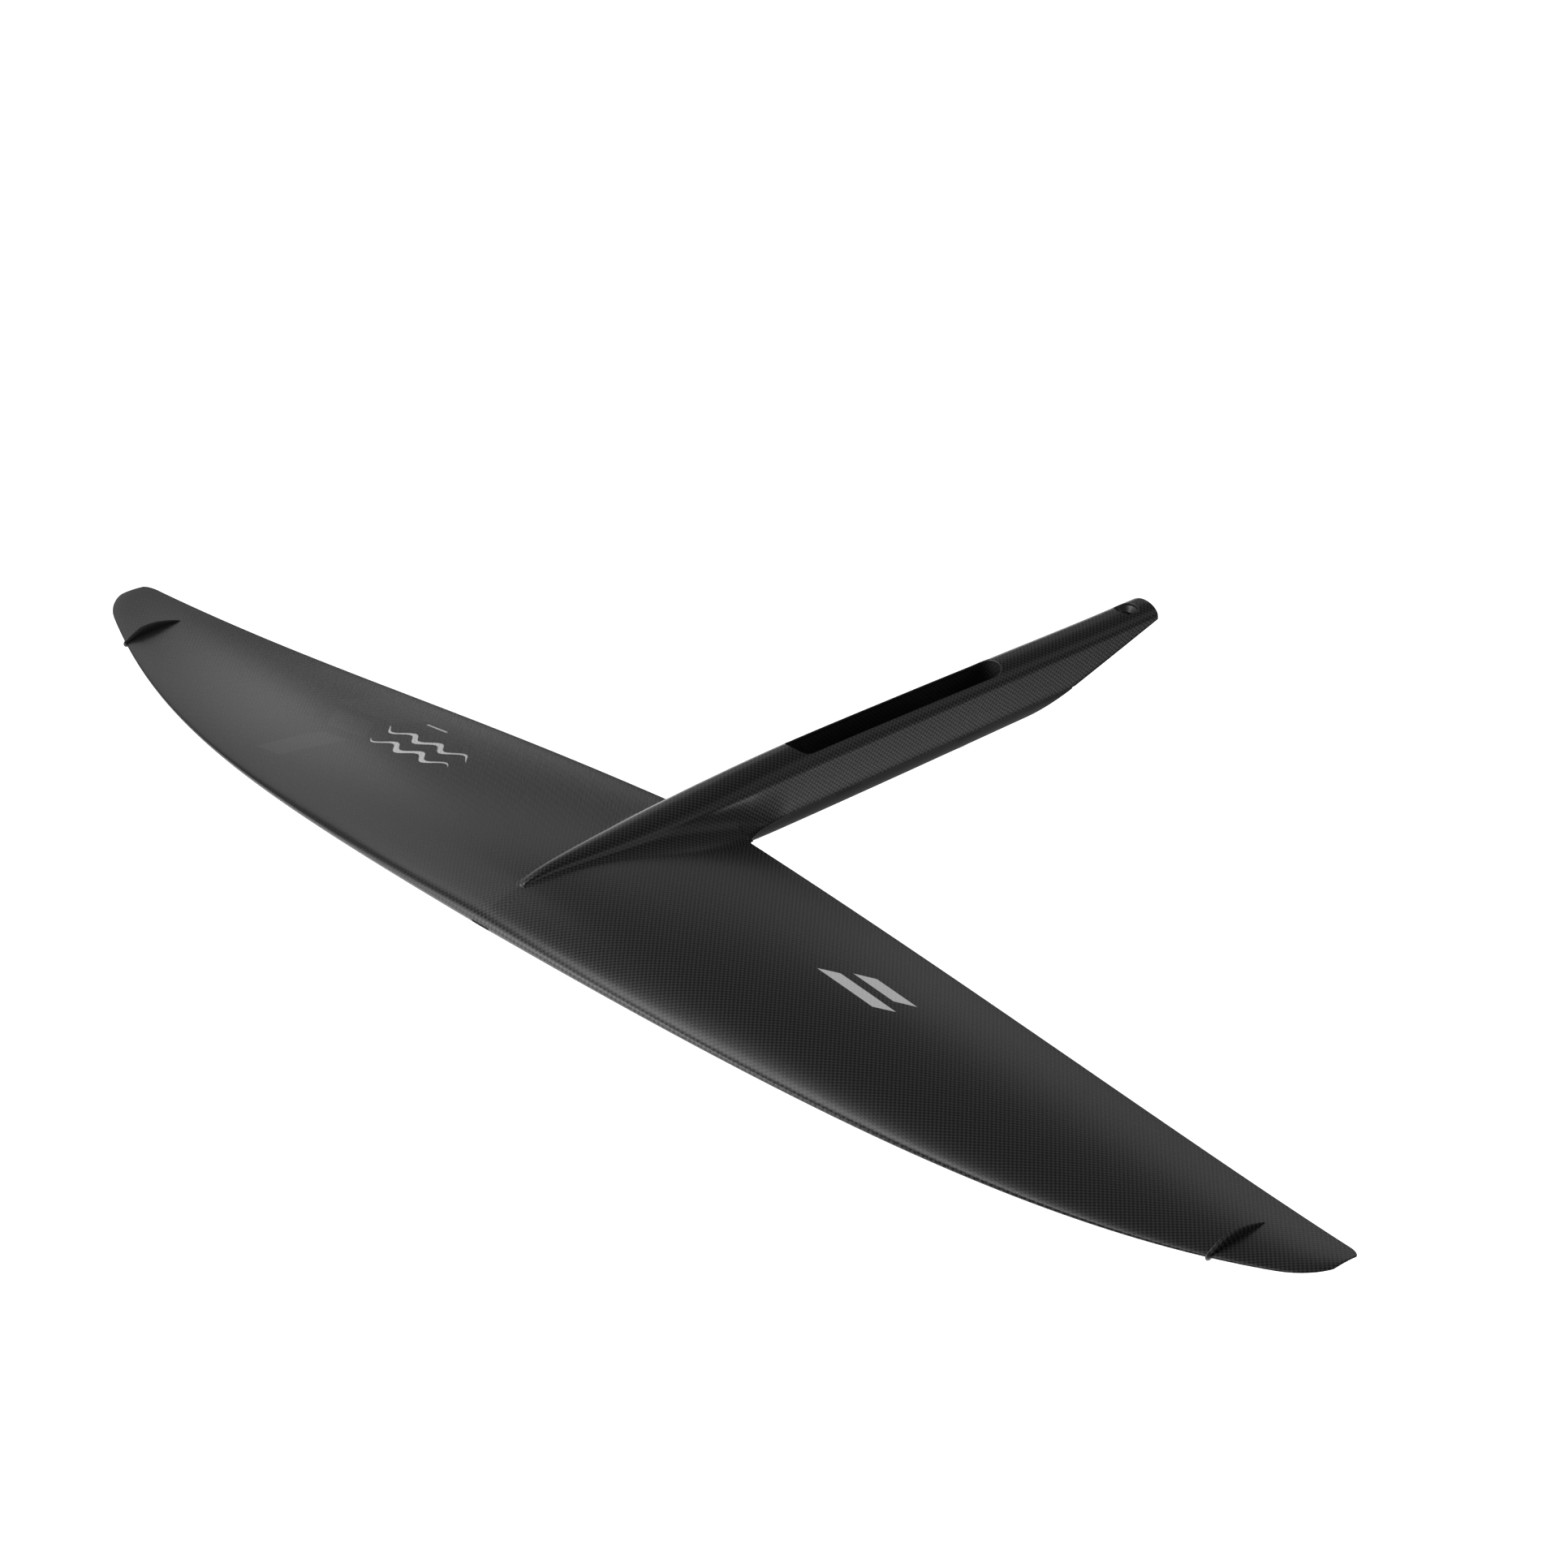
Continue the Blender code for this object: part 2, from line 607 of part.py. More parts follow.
def build_belly_block(material, bolt_cutters, flange_cutters):
    """Solid laminate between the socket's floor and the belly, which the mast screws clamp."""
    top = SOCKET_FLOOR_Z - SOCKET_FLOOR - GAP
    rings = []
    for y in spread(0.2120, 0.3650, 7):
        half = foot_half(y) - BODY_SKIN - BLOCK_CLEARANCE
        depth = parting_z(y) - belly_z(y) - BODY_SKIN - BLOCK_CLEARANCE
        start = math.asin((parting_z(y) - top) / depth)
        ring = []
        for k in range(9):
            angle = start + (math.pi - 2.0 * start) * k / 8.0
            ring.append((half * math.cos(angle), y, parting_z(y) - depth * math.sin(angle)))
        rings.append(ring)
    block = loft("belly_block", rings, material)
    for cutter in bolt_cutters + flange_cutters:
        cut(block, cutter)
    return block


def build_tail_core(foam):
    """Foam behind the mast socket, over the belly and the first part of the seat."""
    rings = []
    for y in spread(0.3690, 0.4530, 6):
        low = BODY_SKIN + max(belly_z(y) + TAIL_CORE_LIFT, seat_z(y) + TAIL_SEAT_CLEARANCE)
        rings.append(arch(core_half(y), low, core_top(y), y))
    return loft("tail_core", rings, foam)


def build_tail_block(material):
    """Solid laminate that closes the tail's end and takes the stabiliser's screw."""
    rings = []
    for y in (0.4535, 0.4600, 0.4700, 0.4780, FUSELAGE_END - GAP):
        low = seat_z(y) + BODY_SKIN + CORE_CLEARANCE
        rings.append(arch(core_half(y), low, core_top(y), y, 9))
    return loft("tail_block", rings, material)


def build_mast_bush(name, y, material):
    """A countersunk bush in the belly for one of the mast's screws."""
    top = SOCKET_FLOOR_Z - SOCKET_FLOOR - BUSH_TOP_GAP
    flange_top = BUSH_BOTTOM_Z + BUSH_FLANGE_HEIGHT
    mouth = BUSH_FLANGE - BUSH_LAND
    profile = [(BUSH_FLANGE, flange_top), (BUSH_FLANGE, BUSH_BOTTOM_Z), (mouth, BUSH_BOTTOM_Z),
               (MAST_BOLT_HOLE, BUSH_BOTTOM_Z + mouth - MAST_BOLT_HOLE),
               (MAST_BOLT_HOLE, top), (BUSH_SLEEVE, top), (BUSH_SLEEVE, flange_top)]
    return turned(name, profile, 28, (0.0, y), material)


def build_tail_bush(material):
    """The countersunk cup in the tail that the stabiliser's screw pulls on."""
    rim = TAIL_HOLE_RADIUS - GAP
    mouth = rim - TAIL_BUSH_LAND
    cone_bottom = TAIL_BUSH_TOP_Z - (mouth - TAIL_SCREW_RADIUS)
    foot = cone_bottom - TAIL_BUSH_FOOT
    profile = [(mouth, TAIL_BUSH_TOP_Z), (rim, TAIL_BUSH_TOP_Z), (rim, TAIL_BUSH_TOP_Z - TAIL_BUSH_EDGE),
               (TAIL_SCREW_RADIUS + TAIL_BUSH_WALL, foot), (TAIL_SCREW_RADIUS, foot),
               (TAIL_SCREW_RADIUS, cone_bottom)]
    return turned("tail_bolt_bush", profile, 28, (0.0, TAIL_HOLE_Y), material)


# Tip fences ---------------------------------------------------------------------------------
def build_fence(name, hand, material):
    """A low blade that wraps round the leading edge near a tip and runs out aft to a point."""
    x = hand * FENCE_X
    end = FENCE_LENGTH / chord(x)
    # Each stop: (chord fraction, below the wing if negative; height; share of the width).
    path = [(-0.06, 0.0009, 0.5), (-0.02, 0.0016, 0.8), (-0.004, 0.0021, 1.0), (0.002, 0.0022, 1.0),
            (0.02, 0.0024, 1.0), (0.07, 0.0037, 1.0), (0.15, FENCE_HEIGHT, 1.0), (0.25, 0.0046, 0.95),
            (0.36, 0.0033, 0.8), (0.92 * end, 0.0019, 0.5), (end, 0.0006, 0.2)]
    surface = [wing_point(x, abs(stop[0]), math.copysign(1.0, stop[0])) for stop in path]
    rings = []
    for k, (_, height, width) in enumerate(path):
        before = surface[max(k - 1, 0)]
        after = surface[min(k + 1, len(path) - 1)]
        along = np.array([after[1] - before[1], after[2] - before[2]])
        out = np.array([-along[1], along[0]]) / np.linalg.norm(along)
        base = np.array(surface[k][1:]) + out * FENCE_GAP
        top = np.array(surface[k][1:]) + out * height
        flank = 0.3 * base + 0.7 * top
        half = FENCE_WIDTH * width / 2.0
        rings.append([(x - half, *base), (x + half, *base), (x + half * 0.8, *flank),
                      (x, *top), (x - half * 0.8, *flank)])
    return loft(name, rings, material)


# Assembly -----------------------------------------------------------------------------------
for old in list(bpy.data.objects):
    bpy.data.objects.remove(old, do_unlink=True)

parts = bpy.data.collections.new(OBJECT_NAME)
cutters = bpy.data.collections.new("cutters")
bpy.context.scene.collection.children.link(parts)
bpy.context.scene.collection.children.link(cutters)
frame = bpy.data.objects.new("frame", None)
frame.location = (0.0, -SOCKET_Y, -SOCKET_FLOOR_Z)
parts.objects.link(frame)

weave = paint("carbon_weave", (0.035, 0.035, 0.036), 0.38, coat=0.5)
plies = paint("carbon_unidirectional", (0.020, 0.020, 0.021), 0.45)
laminate = paint("solid_laminate", (0.030, 0.030, 0.031), 0.5)
core_foam = paint("core_foam", (0.78, 0.70, 0.52), 0.9)
steel = paint("stainless_steel", (0.55, 0.55, 0.56), 0.3, metallic=1.0)
anodised = paint("black_anodised", (0.05, 0.05, 0.052), 0.35, metallic=1.0)

upper_skin = build_skin("upper_skin", 1, weave)
lower_skin = build_skin("lower_skin", -1, weave)
build_spar(plies, core_foam)
build_wing_cores(core_foam, laminate)
build_ridge_core(core_foam)
build_belly_core(core_foam)
build_tail_core(core_foam)
tail_block = build_tail_block(laminate)

bolt_rows = (SOCKET_Y - MAST_BOLT_SPACING / 2.0, SOCKET_Y + MAST_BOLT_SPACING / 2.0)
floor_holes = [cylinder_cutter(f"floor_hole_{k}", MAST_BOLT_HOLE, (0.0, y), CUT_LOW, 0.0)
               for k, y in enumerate(bolt_rows)]
sleeve_holes = [cylinder_cutter(f"sleeve_hole_{k}", BUSH_SLEEVE + GAP, (0.0, y), CUT_LOW, 0.0)
                for k, y in enumerate(bolt_rows)]
flange_holes = [cylinder_cutter(f"flange_hole_{k}", BUSH_FLANGE + GAP, (0.0, y), CUT_LOW,
                                BUSH_BOTTOM_Z + BUSH_FLANGE_HEIGHT + GAP) for k, y in enumerate(bolt_rows)]
build_mast_socket(laminate, floor_holes)
build_belly_block(laminate, sleeve_holes, flange_holes)
for cutter in flange_holes:
    cut(lower_skin, cutter)
for name, y in zip(("mast_bolt_bush_front", "mast_bolt_bush_rear"), bolt_rows):
    build_mast_bush(name, y, steel)

slot_rings = [[(x, y, z) for x, y in socket_outline(0.0)] for z in (0.010, CUT_HIGH)]
slot_cutter = loft("slot_cutter", slot_rings, laminate)
parts.objects.unlink(slot_cutter)
cutters.objects.link(slot_cutter)
slot_cutter.hide_render = True
slot_cutter.display_type = "WIRE"
cut(upper_skin, slot_cutter)

tail_hole = cylinder_cutter("tail_hole", TAIL_HOLE_RADIUS, (0.0, TAIL_HOLE_Y), TAIL_CUP_BOTTOM_Z, CUT_HIGH)
tail_screw_hole = cylinder_cutter("tail_screw_hole", TAIL_SCREW_RADIUS, (0.0, TAIL_HOLE_Y), CUT_LOW,
                                  CUT_HIGH)
cut(upper_skin, tail_hole)
cut(tail_block, tail_hole)
cut(tail_block, tail_screw_hole)
cut(lower_skin, tail_screw_hole)
build_tail_bush(anodised)

for hand, side in ((-1.0, "left"), (1.0, "right")):
    build_fence(f"tip_fence_{side}", hand, weave)
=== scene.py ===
"""Looks of the hydrofoil's front wing: fine skins, fences, socket and bushes round the CAD frame.

The fine pieces are drawn in the same design frame as the CAD parts: zero at the wing's leading
edge in the middle of the span, +X to the right tip, +Y aft and +Z up.  place() then moves them
into the frame's own coordinates.  Lengths are metres.
"""

import json
import math
from collections import namedtuple

import bmesh
import bpy
import numpy as np
from mathutils import Matrix, Vector


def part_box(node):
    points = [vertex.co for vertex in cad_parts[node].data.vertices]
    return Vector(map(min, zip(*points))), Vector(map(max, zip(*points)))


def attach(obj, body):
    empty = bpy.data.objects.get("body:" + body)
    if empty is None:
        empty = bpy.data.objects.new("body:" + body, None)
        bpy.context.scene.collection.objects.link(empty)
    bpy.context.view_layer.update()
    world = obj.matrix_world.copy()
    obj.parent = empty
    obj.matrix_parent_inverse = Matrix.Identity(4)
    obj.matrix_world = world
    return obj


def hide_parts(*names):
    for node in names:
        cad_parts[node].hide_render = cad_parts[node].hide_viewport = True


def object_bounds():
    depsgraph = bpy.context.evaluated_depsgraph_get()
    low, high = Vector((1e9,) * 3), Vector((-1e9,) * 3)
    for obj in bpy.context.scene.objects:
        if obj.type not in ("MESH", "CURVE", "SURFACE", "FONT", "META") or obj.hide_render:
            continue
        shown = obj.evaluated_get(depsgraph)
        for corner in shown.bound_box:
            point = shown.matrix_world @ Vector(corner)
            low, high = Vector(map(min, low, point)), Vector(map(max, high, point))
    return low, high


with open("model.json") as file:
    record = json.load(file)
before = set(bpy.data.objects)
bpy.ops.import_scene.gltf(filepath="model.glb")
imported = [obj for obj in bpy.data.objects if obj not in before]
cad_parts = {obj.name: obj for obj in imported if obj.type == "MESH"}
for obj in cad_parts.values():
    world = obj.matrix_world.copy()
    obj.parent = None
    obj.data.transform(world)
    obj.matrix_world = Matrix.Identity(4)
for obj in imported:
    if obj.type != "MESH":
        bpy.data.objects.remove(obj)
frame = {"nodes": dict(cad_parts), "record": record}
cad_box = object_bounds()
nodes = frame["nodes"]

# Wing ---------------------------------------------------------------------------------------
HALF_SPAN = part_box("upper_skin")[1][0]
ROOT_CHORD = 0.1617
ROOT_THICKNESS = 0.1284
TIP_THICKNESS = 0.0458
CAMBER = 0.0253
ROOT_INCIDENCE = 0.0126
TIP_WASH = 0.0112
EDGE_HALF = 0.0004
EDGE_ROUND = 0.0005          # depth of the rounding all round the wing's edge
PARTING = 0.00002            # half of the hairline where the two skins meet
NOSE_CORNER = (0.455, 0.013)
TAIL_CORNER = (0.466, 0.0045)
TIP_OVERRUN = 0.0002

# Fuselage -----------------------------------------------------------------------------------
RIDGE_START = 0.027
FUSELAGE_END = 0.483
BELLY_START = 0.045
SEAT_END_Z = 0.0129
SEAT_SLOPE = 0.277
SEAT_RIM = 0.0010
SEAT_BLEND = 0.0009          # softness of the bend from the belly into the seat
SEAT_EDGE = 0.0005           # rounding along the seat's two long edges
END_ROUND = 0.0006           # rounding round the tail's end face
WING_SKIN = 0.0012
BODY_SKIN = 0.0018
END_SKIN = 0.0002
THIN_SHARE = 0.45            # most of the half thickness that a skin may take
LEAST_ROOM = 0.010           # counted on behind the fillet where the side is low
RAISED = 0.001               # the body starts this far above the wing's surface
DOME = 16                    # steps from the middle to the shoulder
SIDE = (0.03, 0.08, 0.15, 0.23, 0.32, 0.42, 0.52, 0.62, 0.72, 0.81, 0.88, 0.93, 0.965, 0.98, 0.99,
        0.996, 1.0)          # steps down the side, as shares
SOFTEN_PASSES = 12
SOFTEN_REACH = 9.0           # points on each side of the shoulder
SOFTEN_END = 0.155           # aft of this the shoulder keeps its bend
SOFTEN_FADE = 0.035
SIDE_SHADE_START = 0.152           # where the painted shade low on the side starts, and how slowly
SIDE_SHADE_FADE = 0.010
SHARP_ANGLE = 38.0

# Openings -----------------------------------------------------------------------------------
SOCKET_Y = 0.2888
SOCKET_FLOOR_Z = -0.0050
SOCKET_FLOOR = 0.0030
SOCKET_WALL = 0.0010
SOCKET_HALF_LENGTH = 0.0763
SOCKET_HALF_WIDTH = 0.00884
SOCKET_END = 0.0095
SOCKET_POWER = 2.3           # how square the slot's ends are; 2 is an ellipse
SOCKET_FOOT_ROUND = 0.0015
SOCKET_TOP_GAP = 0.0001
CUT_MARGIN = 0.002
MAST_BOLT_SPACING = 0.090
MAST_BOLT_HOLE = 0.0042
BUSH_SLEEVE = 0.0060
BUSH_FLANGE = 0.0080
BUSH_BOTTOM_Z = -0.0160
BUSH_FLANGE_HEIGHT = 0.0020
BUSH_TOP_GAP = 0.0008
BUSH_RIM = 0.0006
BUSH_EDGE = 0.00025          # rounding of the bushes' corners
TAIL_HOLE_Y = 0.4675
TAIL_HOLE_RADIUS = 0.0067
TAIL_SCREW_RADIUS = 0.0034
TAIL_BUSH_TOP_Z = 0.0199
CUP_LIP = 0.0004
CUP_RIM = 0.0006
CUP_WALL = 0.0014
CUP_BOTTOM = 0.0012
CUP_EDGE = 0.00015
GAP = 0.0003
CUP_GAP = 0.0001             # round the tail's cup
RIM_ROUND = 0.0005

# Tip fences ---------------------------------------------------------------------------------
FENCE_X = 0.4251
FENCE_LENGTH = 0.0385
FENCE_WIDTH = 0.0022
FENCE_HEIGHT = 0.0048
FENCE_ROOT = 0.0003          # how deep its foot sits in the skin
FENCE_CROWN = 0.7            # below 1 gives a fuller cross section
FENCE_PROFILE = 12

TOW = 0.00143                # width of one tow of the cloth

socket_mount = next(m for m in frame["record"]["mounts"] if m["name"] == "mast_socket_floor")
ORIGIN = Vector((0.0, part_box("upper_skin")[0][1], socket_mount["pos_m"][2] - SOCKET_FLOOR_Z))


def through(*points):
    """A smooth curve through (position, value) points that never overshoots them."""
    knots = np.array([point[0] for point in points])
    values = np.array([point[1] for point in points])
    slope = np.diff(values) / np.diff(knots)
    tangent = np.zeros(len(knots))
    tangent[0] = slope[0]
    tangent[-1] = slope[-1]
    for k in range(1, len(knots) - 1):
        if slope[k - 1] * slope[k] > 0.0:
            tangent[k] = 2.0 * slope[k - 1] * slope[k] / (slope[k - 1] + slope[k])

    def value(position):
        position = min(max(position, knots[0]), knots[-1])
        k = min(int(np.searchsorted(knots, position, side="right")) - 1, len(knots) - 2)
        span = knots[k + 1] - knots[k]
        s = (position - knots[k]) / span
        rise = values[k + 1] - values[k]
        start = tangent[k] * span
        finish = tangent[k + 1] * span
        return float(values[k] + s * (start + s * (3.0 * rise - 2.0 * start - finish
                                                   + s * (start + finish - 2.0 * rise))))

    return value


# Lines along the fuselage, each as (distance aft of the leading edge, value).
crest_z = through((0.027, 0.0116), (0.0276, 0.0126), (0.030, 0.0136), (0.041, 0.0162), (0.052, 0.0175),
                  (0.066, 0.0184), (0.080, 0.0192), (0.108, 0.0206), (0.136, 0.0219), (0.160, 0.0231),
                  (0.182, 0.0243), (0.205, 0.0250), (0.228, 0.0253), (0.318, 0.0240), (0.380, 0.0229),
                  (0.443, 0.0217), (0.483, 0.0215))
shoulder_z = through((0.027, 0.0115), (0.032, 0.0126), (0.041, 0.0136), (0.052, 0.0139), (0.066, 0.0139),
                     (0.094, 0.0133), (0.122, 0.0135), (0.160, 0.0140), (0.443, 0.0138), (0.483, 0.0144))
dome_half = through((0.000, 0.0025), (0.027, 0.0025), (0.041, 0.0038), (0.066, 0.0067), (0.094, 0.0095),
                    (0.122, 0.0115), (0.160, 0.0125), (0.300, 0.0125), (0.380, 0.0119), (0.483, 0.01085))
foot_half = through((0.000, 0.0050), (0.027, 0.0050), (0.046, 0.0072), (0.070, 0.0116), (0.091, 0.0190),
                    (0.112, 0.0270), (0.128, 0.0305), (0.140, 0.0308), (0.1617, 0.0272), (0.1620, 0.0262),
                    (0.1628, 0.0252), (0.1645, 0.0240), (0.167, 0.0226), (0.172, 0.0200), (0.180, 0.0170),
                    (0.190, 0.0148), (0.202, 0.0137), (0.300, 0.0133), (0.380, 0.0125), (0.443, 0.0116),
                    (0.483, 0.01085))
belly_z = through((0.045, -0.0076), (0.070, -0.0092), (0.100, -0.0125), (0.130, -0.0157), (0.165, -0.0181),
                  (0.200, -0.0188), (0.368, -0.0175), (0.483, -0.0165))
belly_half = through((0.000, 0.0030), (0.045, 0.0040), (0.070, 0.0080), (0.100, 0.0110), (0.130, 0.0124),
                     (0.165, 0.0130), (0.200, 0.0135), (0.300, 0.0132), (0.380, 0.0125), (0.443, 0.0116))
belly_shoulder_z = through((0.045, -0.0075), (0.100, -0.0072), (0.130, -0.0070), (0.165, -0.0064),
                           (0.200, -0.0056))
belly_foot_half = through((0.000, 0.0060), (0.045, 0.0080), (0.070, 0.0140), (0.100, 0.0220),
                          (0.130, 0.0268), (0.1617, 0.0272))
side_line_z = through((0.1617, -0.0020), (0.170, -0.0032), (0.182, -0.0045), (0.200, -0.0052))
fillet_curl = through((0.175, 1.0), (0.185, 0.6), (0.200, 0.0))
body_wall = through((RIDGE_START, 0.0009), (0.060, WING_SKIN), (0.140, BODY_SKIN))


def spread(first, last, count):
    return [first + (last - first) * k / (count - 1) for k in range(count)]


# Wing surfaces ------------------------------------------------------------------------------
def corner(x, start, depth):
    reach = (abs(x) - start) / (HALF_SPAN + TIP_OVERRUN - start)
    return depth * (1.0 - math.sqrt(1.0 - max(reach, 0.0) ** 2))


def leading_edge(x):
    t = abs(x) / HALF_SPAN
    return 0.1073 * t ** 2 - 0.0092 * t ** 4 + 0.0086 * t ** 6 + corner(x, *NOSE_CORNER)


def trailing_edge(x):
    t = abs(x) / HALF_SPAN
    line = ROOT_CHORD - 0.0386 * t + 0.0600 * t ** 2 - 0.0045 * t ** 3 - 0.0428 * t ** 4
    return line - corner(x, *TAIL_CORNER)


def chord(x):
    return trailing_edge(x) - leading_edge(x)


def wing_middle(x, y):
    """Height of the mean surface."""
    t = abs(x) / HALF_SPAN
    u = (y - leading_edge(x)) / chord(x)
    droop = -0.0790 * t ** 2 + 0.0529 * t ** 4
    slope = ROOT_INCIDENCE + TIP_WASH * t
    return droop + chord(x) * (4.0 * CAMBER * u * (1.0 - u) - slope * u)


def wing_half(x, y):
    """Half thickness, before the edges are rounded."""
    u = min(max((y - leading_edge(x)) / chord(x), 0.0), 1.0)
    ratio = ROOT_THICKNESS + (TIP_THICKNESS - ROOT_THICKNESS) * abs(x) / HALF_SPAN
    shape = 5.0 * (0.2969 * math.sqrt(u) - 0.1260 * u - 0.3516 * u ** 2 + 0.2843 * u ** 3 - 0.1036 * u ** 4)
    return math.hypot(ratio * chord(x) * shape, EDGE_HALF)


def edge_closure(distance):
    """1 inside the surface, falling to 0 at its edge along a quarter circle."""
    return math.sqrt(max(1.0 - (1.0 - min(distance / EDGE_ROUND, 1.0)) ** 2, 0.0))


def wing_z(x, y, side):
    """Height of the wing's outer surface; side is 1 on top and -1 below."""
    nearest = min(y - leading_edge(x), trailing_edge(x) - y, HALF_SPAN - abs(x))
    half = wing_half(x, y) * edge_closure(max(nearest, 0.0))
    return wing_middle(x, y) + side * max(half, PARTING)


def row_y(x, station):
    """The y where a row crosses the line at span x; station is the row's y at the middle."""
    if station <= EDGE_ROUND:
        return leading_edge(x) + station
    if station >= ROOT_CHORD - EDGE_ROUND:
        return trailing_edge(x) - (ROOT_CHORD - station)
    share = (station - EDGE_ROUND) / (ROOT_CHORD - 2.0 * EDGE_ROUND)
    return leading_edge(x) + EDGE_ROUND + share * (chord(x) - 2.0 * EDGE_ROUND)


# Fuselage sections --------------------------------------------------------------------------
def seat_z(y):
    return SEAT_END_Z - SEAT_SLOPE * (FUSELAGE_END - y)


def parting_z(y):
    return max(side_line_z(y), seat_z(y) + SEAT_RIM)


def bottom_z(y):
    """The underside in the middle: the belly, bending softly into the seat."""
    gap = (seat_z(y) - belly_z(y)) / SEAT_BLEND
    return belly_z(y) + SEAT_BLEND * (gap if gap > 30.0 else math.log1p(math.exp(gap)))


def side_point(y, v, half, foot, top, end):
    """A point on the side or fillet: v is 0 at the shoulder and 1 at the foot."""
    curl = fillet_curl(y)
    across = (1.0 - curl) * v + curl * (1.0 - math.cos(v * math.pi / 2.0))
    down = (1.0 - curl) * v + curl * math.sin(v * math.pi / 2.0)
    return half + (foot - half) * across, top + (end - top) * down


def soften(points, amount):
    """Rounds the bend at the shoulder by drawing each point towards its neighbours."""
    for _ in range(SOFTEN_PASSES):
        moved = [points[0]]
        for k in range(1, len(points) - 1):
            weight = amount * max(1.0 - abs(k - DOME - 1) / SOFTEN_REACH, 0.0)
            trio = zip(points[k - 1], points[k], points[k + 1])
            moved.append(tuple(value + weight * ((before + after) / 2.0 - value) / 2.0
                               for before, value, after in trio))
        points = moved + [points[-1]]
    return points


def edge_height(y, x, z):
    """Rounds a body point's height off at the thin edge between wing and fuselage."""
    if y < ROOT_CHORD:
        distance = math.hypot(trailing_edge(x) - row_y(x, y), foot_half(y) - x)
    else:
        distance = foot_half(y) - x
    middle = parting_z(y)
    closed = 1.0 - fillet_curl(y) * (1.0 - edge_closure(max(distance, 0.0)))
    height = (z - middle) * closed
    return middle + math.copysign(max(abs(height), PARTING), height)


def upper_row(y, hole):
    """Points (x, z) from the middle, or the hole's edge, out to the foot."""
    half = dome_half(y)
    foot = foot_half(y)
    shoulder = shoulder_z(y)
    rise = crest_z(y) - shoulder
    on_wing = y < ROOT_CHORD
    if on_wing and y < RIDGE_START:
        points = [half * k / DOME for k in range(DOME + 1)] + [half + (foot - half) * v for v in SIDE]
        return [(x, wing_z(x, row_y(x, y), 1)) for x in points]
    first = math.asin(min(hole / half, 1.0))
    points = []
    for angle in spread(first, math.pi / 2.0, DOME + 1):
        points.append((half * math.sin(angle), shoulder + rise * math.cos(angle)))
    edge = parting_z(y) + EDGE_HALF * fillet_curl(y)
    if on_wing:
        edge = wing_middle(foot, row_y(foot, y)) + wing_half(foot, row_y(foot, y))
    points += [side_point(y, v, half, foot, shoulder, edge) for v in SIDE]
    if on_wing:
        points = soften(points, min(max((SOFTEN_END - y) / SOFTEN_FADE, 0.0), 1.0))
        points = [(x, max(z, wing_z(x, row_y(x, y), 1))) for x, z in points]
        if row_y(foot, y) < trailing_edge(foot) - EDGE_ROUND:
            return points
    return [(x, edge_height(y, x, z)) for x, z in points]


def lower_row(y, hole):
    half = belly_half(y)
    on_wing = y < ROOT_CHORD
    foot = belly_foot_half(y) if on_wing else foot_half(y)
    if on_wing and y < BELLY_START:
        points = [half * k / DOME for k in range(DOME + 1)] + [half + (foot - half) * v for v in SIDE]
        return [(x, wing_z(x, row_y(x, y), -1)) for x in points]
    low = bottom_z(y)
    shoulder = belly_shoulder_z(y)
    depth = shoulder - belly_z(y)
    if seat_z(y) >= shoulder - 0.0006:
        flat = foot - SEAT_EDGE
        points = [(x, low) for x in spread(hole, flat, DOME + 1)]
        rim = parting_z(y)
        for v in SIDE:
            angle = min(v / 0.5, 1.0) * math.pi / 2.0
            top = low + SEAT_EDGE + max(v - 0.5, 0.0) * 2.0 * (rim - low - SEAT_EDGE)
            height = top if v > 0.5 else low + SEAT_EDGE * (1.0 - math.cos(angle))
            points.append((flat + SEAT_EDGE * math.sin(angle), min(height, rim - PARTING)))
        return points
    half = min(half, foot - 0.0001)
    crease = math.acos(min((shoulder - low) / depth, 1.0))
    crease = max(crease, math.radians(4.0))
    flat_width = half * math.sin(crease)
    inner_steps = DOME // 2
    if hole > 0.8 * flat_width:
        first = math.asin(hole / half)
        points = [(half * math.sin(a), shoulder - depth * math.cos(a))
                  for a in spread(first, math.pi / 2.0, DOME + 1)]
    else:
        points = [(x, low) for x in spread(hole, flat_width, inner_steps + 1)]
        points += [(half * math.sin(a), shoulder - depth * math.cos(a))
                   for a in spread(crease, math.pi / 2.0, DOME - inner_steps + 1)[1:]]
    edge = parting_z(y) - EDGE_HALF * fillet_curl(y)
    if on_wing:
        edge = wing_middle(foot, row_y(foot, y)) - wing_half(foot, row_y(foot, y))
    points += [side_point(y, v, half, foot, shoulder, edge) for v in SIDE]
    points = [(x, max(z, low)) for x, z in points]
    if on_wing:
        points = [(x, min(z, wing_z(x, row_y(x, y), -1))) for x, z in points]
        if row_y(foot, y) < trailing_edge(foot) - EDGE_ROUND:
            return points
    return [(x, edge_height(y, x, z)) for x, z in points]


